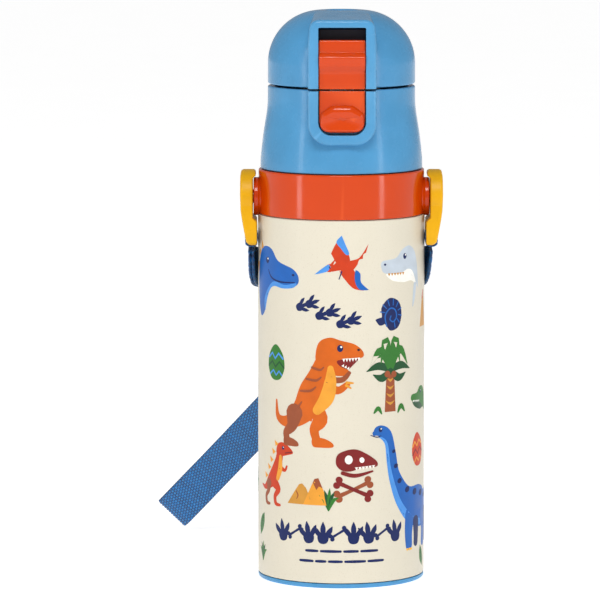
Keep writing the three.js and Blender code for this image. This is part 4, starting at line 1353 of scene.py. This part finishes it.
def teeth(start, end, count, size, ink="paleInk"):
    shapes = []
    a, b = Vector(start), Vector(end)
    step = (b - a) / count
    down = Vector((step.y, -step.x)).normalized() * size
    for k in range(count):
        p = a + step * k
        shapes.append((ink, [tuple(p), tuple(p + step * 0.9), tuple(p + step * 0.45 + down)]))
    return shapes


# big two-legged dinosaur, roaring to the right
bigDinosaur = [
    ("orangeInk", limb([(-17, -3, 0.8), (-16, -9, 2.4), (-10.5, -10, 5), (-5, -6, 9), (-0.5, 0.5, 12),
                        (2.2, 7, 9.5), (4, 13, 7)])),
    ("orangeInk", smoothLoop([(0, 12), (1, 18.5), (5, 20.6), (9, 19.6), (14, 18.2), (17, 15.6), (16.6, 13.4),
                              (11, 13.2), (8.6, 12.4), (9, 10.6), (12, 8.8), (11.6, 7.2), (7.5, 7), (3, 8)])),
    ("orangeInk", limb([(-3, -4, 9), (1.5, -8.5, 6), (-0.5, -12.5, 3.6), (0.5, -16.6, 3)])),
    ("orangeInk", smoothLoop([(-1.2, -15.6), (2.6, -15.4), (6, -17), (6.2, -18.6), (2, -18.8), (-1, -18.4)])),
    ("brownInk", limb([(-8.5, -7, 7), (-9.5, -11.5, 4.4), (-12, -14.2, 3), (-11.6, -16.8, 2.6)])),
    ("brownInk", smoothLoop([(-13, -15.8), (-9.6, -16), (-7, -17.4), (-7, -18.8), (-10.5, -18.9),
                             (-13, -18.6)])),
    ("orangeInk", limb([(3.5, 3.5, 4), (8, 1.8, 2.8), (11.4, 4, 2)])),
    ("brownInk", limb([(4.5, 5.6, 2.4), (9.5, 5.6, 2), (12, 8, 1.4)])),
    ("amberInk", limb([(5.4, 9.6, 2.2), (5.4, 5, 4.2), (4, -1, 5.2), (0.6, -5.4, 3.4)])),
    ("amberInk", limb([(11.2, 4.6, 1), (13.4, 4.4, 0.6)])),
    ("amberInk", limb([(11, 3.6, 1), (12.6, 2.6, 0.6)])),
    ("darkRedInk", smoothLoop([(8.2, 12.6), (15.8, 13.2, 1), (11.8, 9.2, 1), (8.6, 10.6)])),
    *teeth((9.6, 13.1), (16, 13.5), 6, 1.3), *teeth((12, 9.2), (9.2, 10.6), 3, 1.0),
    *eye(8.8, 16.8, 1.25), ("blackInk", oval(15.4, 16.2, 0.5, 0.4)),
    ("brownInk", limb([(-3.4, 5.6, 0.7), (0.2, 5.2, 0.9), (2, 6.4, 0.5)])),
    ("brownInk", limb([(-5.8, 1.2, 0.7), (-2, 1.4, 0.9), (0, 2.8, 0.5)])),
    ("brownInk", limb([(-9.8, -5.6, 0.7), (-7, -4.6, 0.9), (-5.4, -2.8, 0.5)])),
    ("brownInk", limb([(-1.4, 9.8, 0.7), (1.6, 9, 0.8), (3, 10, 0.4)])),
]
flyer = [
    ("redInk", limb([(-4, -1, 1.6), (-0.5, 0.5, 4.4), (2.2, -3, 4.8), (4.4, -7, 2.6), (7.6, -8.6, 0.8)])),
    ("redInk", smoothLoop([(-2.4, 1, 1), (-4.6, 5, 1), (-3, 8.4), (-0.6, 11.6, 1), (0.8, 7.4), (2.4, 3.4),
                           (2, 0.4)])),
    ("redInk", smoothLoop([(1.4, 1.8), (6, 3.4), (9.6, 8.6, 1), (8.6, 5.2, 1), (7.6, 4.6), (7.4, 3, 1),
                           (6, 2.6), (5.4, 1, 1), (3, -1.6)])),
    ("skyInk", smoothLoop([(-2.6, 9.4), (-0.6, 11.8, 1), (1, 8), (2.2, 5), (1, 4.6), (-1, 7)])),
    ("blueInk", smoothLoop([(4.6, -1.4), (6.4, -2.6), (6.8, -6), (9.8, -8.8, 1), (6.2, -8.6), (4.4, -5.6)])),
    ("redInk", oval(-5, -0.4, 1.9, 1.5, 20)), ("skyInk", smoothLoop([(-5.6, 0.9), (-5.8, -1.6), (-11, -3, 1)])),
    ("redInk", limb([(-4.4, 0.8, 1), (-3.2, 2.6, 0.4)])), *eye(-5, -0.2, 0.45),
    ("navyInk", limb([(-0.6, -1.8, 0.5), (-1.6, -4.6, 0.35)])),
]
longSnout = [
    ("blueInk", smoothLoop([(-12, 9), (-7.6, 10.6), (-3.4, 9.6), (0.4, 5.6), (7.6, 3.2), (10.4, 0.2), (9.6, -3),
                            (4, -4.4), (-2.6, -4.2), (-7, -8), (-9, -14), (-13, -16), (-16, -8), (-15.4, 3)])),
    ("skyInk", smoothLoop([(-3, -2.6), (4, -3.2), (9.4, -2.2), (8, -4), (3, -4.6), (-2.8, -4.2), (-6.4, -8),
                           (-8.6, -14, 1), (-9, -9)])),
    ("navyInk", limb([(-6, 1.8, 0.3), (-3.6, -1, 0.6), (1.6, -2.2, 0.6), (8.6, -2, 0.4)])),
    *eye(-6.6, 5.4, 1.25), ("navyInk", oval(8, 0.8, 0.6, 0.45)),
    ("ochreInk", smoothLoop([(-12.6, 9, 1), (-11.6, 12.6, 1), (-10.2, 9.8, 1)])),
    ("ochreInk", smoothLoop([(-15, 6, 1), (-15.4, 10, 1), (-13, 8.2, 1)])),
    ("ochreInk", smoothLoop([(-16, 0, 1), (-18.6, 3.4, 1), (-15.4, 4.2, 1)])),
]
greyHead = [
    ("greyInk", smoothLoop([(-10.4, -0.4), (-10.2, 2.6), (-4, 3.6), (-0.6, 6.6), (3.6, 7.8), (7.4, 5),
                            (9.4, -1), (10.4, -9, 1), (7, -5), (3, -2.6), (-3, -2.4), (-8.6, -2)])),
    ("paleInk", smoothLoop([(-8.4, -2.2), (-2, -2.4), (2.6, -1), (6, -2.4), (9, -8, 1), (5, -5.6), (0, -5.8),
                            (-5.6, -4.8)])),
    *teeth((-7.8, -2), (0.6, -2), 6, 1.1, "ochreInk"), *eye(0.8, 4, 1.1), ("navyInk", oval(-9, 1.4, 0.5, 0.4)),
    ("greyInk", limb([(7.6, -7.4, 2), (6.8, -12, 1.6), (6, -15.4, 0.5)])),
]
shellSpiral = [
    ("blueInk", smoothLoop([(-6, -1.6, 1), (-3.6, -0.8), (-3.6, 2.6), (-0.4, 5.6), (3.6, 4.2), (5, 0),
                            (3.6, -4.4), (0, -5.6), (-2.4, -3.2), (-4.4, -3.4)])),
    ("navyInk", smoothLoop([(-6, -1.6, 1), (-3.8, -1), (-2.4, -3), (-4.4, -3.6)])),
    ("skyInk", limb([(-1.6, -4, 0.45), (-2.2, -0.4, 0.5), (-0.2, 2, 0.5), (2, 1.4, 0.5), (2.6, -1, 0.5),
                     (1.2, -2.6, 0.5), (-0.2, -1.8, 0.45), (0.2, -0.6, 0.4)])),
    *[("skyInk", limb([(0.6 + 2.9 * math.cos(a), 0.2 + 2.9 * math.sin(a), 0.3),
                       (0.4 + 4.6 * math.cos(a), 0.2 + 5 * math.sin(a), 0.4)]))
      for a in [math.radians(d) for d in (170, 140, 110, 80, 50, 20, -10, -40, -70)]],
]
footprint = [
    ("navyInk", smoothLoop([(-1.2, -1.7), (-1.5, 0), (0, 1.1), (1.5, 0), (1.2, -1.7), (0, -2.2)])),
    ("navyInk", limb([(-0.9, 0.1, 1.2), (-1.9, 1.4, 1.3), (-2.5, 2.5, 0.3)])),
    ("navyInk", limb([(0, 0.5, 1.3), (0, 2.2, 1.4), (0, 3.7, 0.3)])),
    ("navyInk", limb([(0.9, 0.1, 1.2), (1.9, 1.4, 1.3), (2.5, 2.5, 0.3)])),
]
bone = [("navyInk", limb([(-3, 0, 1.1), (0, 0, 0.9), (3, 0, 1.1)])),
        *[("navyInk", oval(side * 3.2, up * 0.75, 0.9, 0.85)) for side in (-1, 1) for up in (-1, 1)]]
egg = [("greenInk", smoothLoop([(0, 6.6), (3.6, 3.4), (4.6, -1.4), (2.8, -5.4), (0, -6.4), (-2.8, -5.4),
                                (-4.6, -1.4), (-3.6, 3.4)])),
       ("skyInk", limb([(-3.9, 1.8, 0.7), (-2, 3.4, 0.8), (-0.4, 1.4, 0.8), (1.6, 3.4, 0.8),
                        (3.8, 1.6, 0.7)], 1)),
       ("darkGreenInk", limb([(-4.3, -1.4, 0.7), (-2, 0.4, 0.8), (-0.2, -1.6, 0.8), (2, 0.4, 0.8),
                              (4.3, -1.6, 0.7)], 1)),
       ("skyInk", limb([(-3.2, -4.2, 0.6), (-1.4, -2.8, 0.7), (0.2, -4.6, 0.7), (1.8, -3, 0.7),
                        (3.2, -4.4, 0.6)], 1))]
palm = [
    ("brownInk", smoothLoop([(-1.5, 2, 1), (1.5, 2, 1), (2.2, -12, 1), (-2.2, -12, 1)], 2)),
    *[("ochreInk", smoothLoop([(-1.2 - k * 0.18, 1.8 - 2.5 * k, 1), (0, 0.2 - 2.5 * k),
                               (1.2 + k * 0.18, 1.8 - 2.5 * k, 1), (0, 1.1 - 2.5 * k)], 3))
      for k in range(5)],
    *[(ink, limb([(0, 1.6, 1.6), (reach * 0.5, 1.8 + up, 2.6), (reach, 1.2 + up * 0.3, 0.3)]))
      for ink, reach, up in (
          ("darkGreenInk", -8.6, 1.4), ("darkGreenInk", 8.8, 1.2), ("greenInk", -7.4, 6.4),
          ("greenInk", 7.6, 6.6), ("greenInk", -3.6, 9.6), ("greenInk", 4, 9.8), ("darkGreenInk", -6.4, -2.6),
          ("darkGreenInk", 6.6, -2.8))],
    ("brownInk", oval(-1.2, 0.4, 1.1, 1.1)), ("brownInk", oval(1.4, 0.2, 1.1, 1.1)),
    ("greenInk", limb([(-6, -12, 0.6), (-4.6, -10.6, 1.4), (-3.4, -12.4, 0.5)])),
    ("greenInk", limb([(3.2, -12.4, 0.5), (4.6, -10.4, 1.6), (6.2, -12.2, 0.5)])),
]
longNeck = [
    ("blueInk", limb([(-15.5, 15, 1.8), (-13.6, 15.6, 4.4), (-10.4, 14, 4.2), (-8.4, 7, 4), (-7, -1, 5.4),
                      (-2, -9, 9), (6, -13, 15), (14, -14, 13), (21, -10, 5), (27, -6, 1)])),
    ("skyInk", limb([(-13.4, 13.6, 0.6), (-10.8, 11, 1.2), (-9.8, 4, 1.4), (-8.2, -3, 2), (-4.6, -11.4, 2.6),
                     (2, -18, 3.4), (10, -19.6, 2)])),
    ("blueInk", limb([(1.5, -16, 6), (0.6, -22, 4.6), (0.8, -27, 4)])),
    ("blueInk", limb([(12, -17, 6), (13.4, -22, 4.6), (13, -27, 4)])),
    ("navyInk", limb([(5.6, -19, 4.4), (5.8, -23, 3.6), (5.6, -26.6, 3.2)])),
    ("navyInk", limb([(17, -17, 4.4), (18, -22, 3.4), (18, -26.4, 3)])),
    *[("yellowInk", oval(u, v, 0.55, 0.45)) for u, v in ((-0.2, -28.6), (1, -28.6), (2.1, -28.6))],
    *[("navyInk", oval(u, v, r, r * 0.8, 30)) for u, v, r in (
        (-7.4, 8, 0.8), (-6.4, 2.6, 1), (-4.6, -3, 1.1), (-0.4, -6.6, 1.3), (4.6, -8, 1.4), (10, -9, 1.4),
        (15.6, -10.6, 1.1))],
    *eye(-13.2, 16.2, 0.85), ("navyInk", limb([(-17, 14.4, 0.3), (-14.6, 13.6, 0.35), (-13, 14, 0.25)])),
]
smallDinosaur = [
    ("redInk", limb([(-8.6, -4.4, 0.5), (-6, -5, 1.8), (-2.4, -2.6, 4.4), (0.6, 1, 5), (2, 5, 3.4),
                     (2.6, 8, 3)])),
    ("redInk", smoothLoop([(0.8, 7), (1.4, 10), (4, 10.8), (7, 9.2), (8.2, 7.6), (6, 6.8), (3, 6.2)])),
    ("redInk", limb([(-1, -2.4, 4), (1.6, -5, 2.4), (0, -7.4, 1.6), (0.4, -9.8, 1.4), (2.4, -10.2, 0.9)])),
    ("brownInk", limb([(-3.6, -3.4, 3), (-4, -6, 1.8), (-5.4, -7.8, 1.4), (-5, -10, 1.3), (-3.2, -10.3, 0.9)])),
    ("redInk", limb([(2, 3, 1.8), (4.6, 1.6, 1.1), (5.6, 3, 0.7)])),
    ("amberInk", limb([(2.8, 6, 1.2), (2.6, 2, 2), (1.4, -1.4, 1.6)])),
    *[("amberInk", smoothLoop([(u - 0.7, v - 0.4, 1), (u - 1.2, v + 1.6, 1), (u + 0.8, v + 0.5, 1)], 2))
      for u, v in ((1, 9.6), (-0.4, 6.8), (-1.6, 4), (-3, 1.4), (-5, -1.6))],
    *eye(4, 9, 0.6), ("darkRedInk", limb([(5, 7.4, 0.3), (6.4, 7.6, 0.4), (7.8, 7.9, 0.3)])),
]
crossedBones = [
    *[("darkRedInk" if k else "brownInk",
       [(x * math.cos(a) - y * math.sin(a), x * math.sin(a) + y * math.cos(a) - 5) for x, y in outline])
      for k, a in enumerate((math.radians(24), math.radians(-24)))
      for outline in [limb([(-5.6, 0, 1.6), (0, 0, 1.3), (5.6, 0, 1.6)])]
      + [oval(side * 6.2, up * 1.1, 1.3, 1.2) for side in (-1, 1) for up in (-1, 1)]],
    ("darkRedInk", smoothLoop([(-6.4, 4.4), (-5.4, 8), (0, 9.6), (4.4, 8), (8.6, 5), (8.4, 3), (3, 2.8),
                               (-1, 1.6), (-4.4, 2)])),
    ("paleInk", oval(-1.8, 5.8, 1.4, 1.6)), ("paleInk", oval(3, 5.6, 0.9, 1, 20)),
    ("darkRedInk", limb([(-4, 1, 1.4), (0.6, 0, 1.4), (7, 1.4, 0.7)])),
    *teeth((0.4, 3), (8, 3.6), 6, 1.1, "paleInk"),
]
mountains = [
    ("ochreInk", smoothLoop([(-8.6, -5, 1), (-3.4, 2.6, 1), (-2, 3, 1), (-0.4, 1.4, 1), (2.6, -5, 1)], 2)),
    ("amberInk", smoothLoop([(-1.6, -5, 1), (3, 5, 1), (4.6, 5.4, 1), (9, -5, 1)], 2)),
    ("brownInk", smoothLoop([(3, 5, 1), (4.6, 5.4, 1), (6.2, 1.6, 1), (4.8, 2.2, 1), (3.8, 0.8, 1),
                             (2.4, 3.6, 1)], 2)),
    ("brownInk", limb([(-4.6, 0, 0.4), (-3.8, -1.6, 0.5), (-4.4, -3, 0.3)])),
]
plant = [(ink, limb([(0, -4, 0.8), (reach * 0.5, up * 0.4, 1.7), (reach, up, 0.25)]))
         for ink, reach, up in (("greenInk", -4.4, 3), ("darkGreenInk", -2, 5.4), ("greenInk", 0.6, 6.4),
                                ("darkGreenInk", 2.8, 4.6), ("greenInk", 4.8, 2))]
leaf = [("greenInk", smoothLoop([(0, -6, 1), (-2.6, -2), (-2, 3), (0.4, 6.4, 1), (2.2, 2.4), (2, -2.4)])),
        ("darkGreenInk", limb([(0, -6, 0.3), (-0.2, 0, 0.45), (0.4, 6, 0.2)])),
        *[("darkGreenInk", limb([(0, v, 0.25), (side * 1.5, v + 1.4, 0.15)]))
          for v in (-3.4, -1.2, 1, 3) for side in (-1, 1)]]
reedHead = [
    ("greenInk", smoothLoop([(-7, 0.6), (-6, 2), (-2, 2.4), (1, 4.6), (5, 4), (8, 0), (8.6, -6, 1), (4, -3.4),
                             (-2, -1), (-6, -0.6)])),
    ("darkGreenInk", smoothLoop([(-5.6, -0.8), (0, -1.4), (5, -4, 1), (1, -4.6), (-4, -3)])),
    *teeth((-5.4, -0.4), (0.6, -0.9), 5, 0.9), *eye(1.6, 2.6, 0.7),
]
cone = [("ochreInk", smoothLoop([(-3.6, -6, 1), (-1, 5, 1), (1, 5.4, 1), (3.6, -6, 1)], 2)),
        ("redInk", limb([(-0.6, 5, 1.2), (0.4, 7.6, 0.6)])),
        ("brownInk", limb([(0.8, 3.4, 0.5), (1.6, 0, 0.6), (1.2, -4, 0.4)]))]

# front, top to bottom
stamp(flyer, (0.5, 122))
stamp(longSnout, (-27.5, 117.5))
stamp(greyHead, (26, 121))
stamp(shellSpiral, (19.5, 103.5), 1.1, 0, False, {"skyInk": "blueInk", "blueInk": "navyInk"})
for k in range(6):
    stamp(footprint, (-16 + 4.0 * k, 107.6 - 1.5 * k + (1.9 if k % 2 else -0.9)), 1.0, -68)
stamp(cone, (42, 103))
stamp(egg, (-28.5, 84.5), 1.05)
stamp(bigDinosaur, (-10, 73.5), 1.06)
stamp(palm, (19.5, 80.5), 1.16)
stamp(reedHead, (37.5, 70), 0.95)
stamp(egg, (36.4, 50.5), 1.0, 8, False,
      {"greenInk": "redInk", "skyInk": "amberInk", "darkGreenInk": "darkRedInk"})
stamp(longNeck, (29, 43), 1.05)
stamp(smallDinosaur, (-29, 42), 1.15)
stamp(crossedBones, (4.5, 43), 1.05)
stamp(mountains, (-13.5, 36.6))
stamp(plant, (-5, 33), 0.8)
stamp(leaf, (-39.5, 21.5), 0.8, -24)
stamp(plant, (-38.5, 10.5), 0.7)
stamp(leaf, (40.5, 9), 0.7, 20)
# a row of tracks and bones, then two rows of dashes
for k in range(9):
    if k % 3 == 1:
        stamp(bone, (-24.5 + 5.8 * k, 21.0), 0.95, 32)
    else:
        stamp(footprint, (-24.5 + 5.8 * k, 20.0), 1.4, 0 if k % 2 else 8)
for v, dashes in ((14.2, (3, 5, 3.4, 4.2)), (10.3, (3.4, 2.4, 3.2, 5, 4))):
    u = -0.5 * (sum(dashes) * 1.5 + 1.4 * (len(dashes) - 1))
    for dash in dashes:
        stamp([("navyInk", limb([(0, 0, 0.9), (dash * 1.5 * 0.5, 0, 1.1), (dash * 1.5, 0, 0.9)], 3))], (u, v))
        u += dash * 1.5 + 1.4
# sides and back
stamp(bigDinosaur, (76, 92), 0.95, 0, True, {"orangeInk": "greenInk", "brownInk": "darkGreenInk"})
stamp(palm, (-74, 96), 1.05)
stamp(longNeck, (-72, 49), 0.95, 0, True, {"blueInk": "orangeInk", "skyInk": "amberInk", "navyInk": "brownInk"})
stamp(smallDinosaur, (60, 64), 0.9, 0, False, {"redInk": "blueInk", "brownInk": "navyInk"})
stamp(mountains, (82, 62), 1.1)
stamp(flyer, (62, 120), 0.95, 12, True)
stamp(flyer, (-66, 124), 0.85, -10, False, {"redInk": "amberInk"})
stamp(egg, (54, 96), 0.95, -8)
stamp(egg, (-54, 74), 0.95, 10, False, {"greenInk": "blueInk", "darkGreenInk": "navyInk"})
stamp(shellSpiral, (90, 122), 0.95, 0, False, {"blueInk": "redInk", "navyInk": "darkRedInk"})
stamp(crossedBones, (92, 36), 0.95)
stamp(greyHead, (-95, 118), 1.0)
stamp(reedHead, (-94, 76), 1.1, 0, True)
stamp(plant, (-50, 36), 0.9)
stamp(plant, (70, 16), 0.9)
stamp(leaf, (-88, 18), 0.9, 14)
stamp(cone, (-54, 100), 0.9)
stamp(leaf, (94, 96), 0.8, -20)
for k in range(5):
    stamp(footprint, (58 + 6.5 * k, 36 + (2.2 if k % 2 else 0)), 0.9, -78)
    stamp(footprint, (-96 + 6.5 * k, 98 + (2.2 if k % 2 else 0)), 0.8, -84)


def wrapInk(name, shapes):
    # cut into narrow upright slices, so that the flat shapes can follow the round body
    radius, step = steelBody["radius"], printLayer["slice"]
    flats = []
    for outline, rise in shapes:
        points, faces = slab([outline], [(-0.02, 0), (rise, 0)], lambda u, v, d: (u, v, d))
        work = bmesh.new()
        corners = [work.verts.new(p) for p in points]
        for face in faces:
            if len(set(face)) > 2:
                try:
                    work.faces.new([corners[i] for i in face])
                except ValueError:
                    continue
        low, high = min(p[0] for p in points), max(p[0] for p in points)
        cut = math.ceil(low / step) * step
        while cut < high:
            bmesh.ops.bisect_plane(work, geom=work.verts[:] + work.edges[:] + work.faces[:], dist=1e-4,
                                   plane_co=(cut, 0, 0), plane_no=(1, 0, 0))
            cut += step
        for v in work.verts:
            a = v.co.x / radius - math.pi / 2
            r = radius + v.co.z
            v.co = Vector((r * math.cos(a), r * math.sin(a), v.co.y)) * mm
        bmesh.ops.recalc_face_normals(work, faces=work.faces)
        flats.append(bpy.data.meshes.new("ink"))
        work.to_mesh(flats[-1])
        work.free()
    mesh = gathered(bpy.data.meshes.new(name), flats)
    smoothed(mesh, 30)
    addPiece(name, mesh, screenInk(name, inks[name]), "bottle")


for name, shapes in inkShapes.items():
    if shapes:
        wrapInk(name, shapes)
print("print ready")

print("all pieces made")
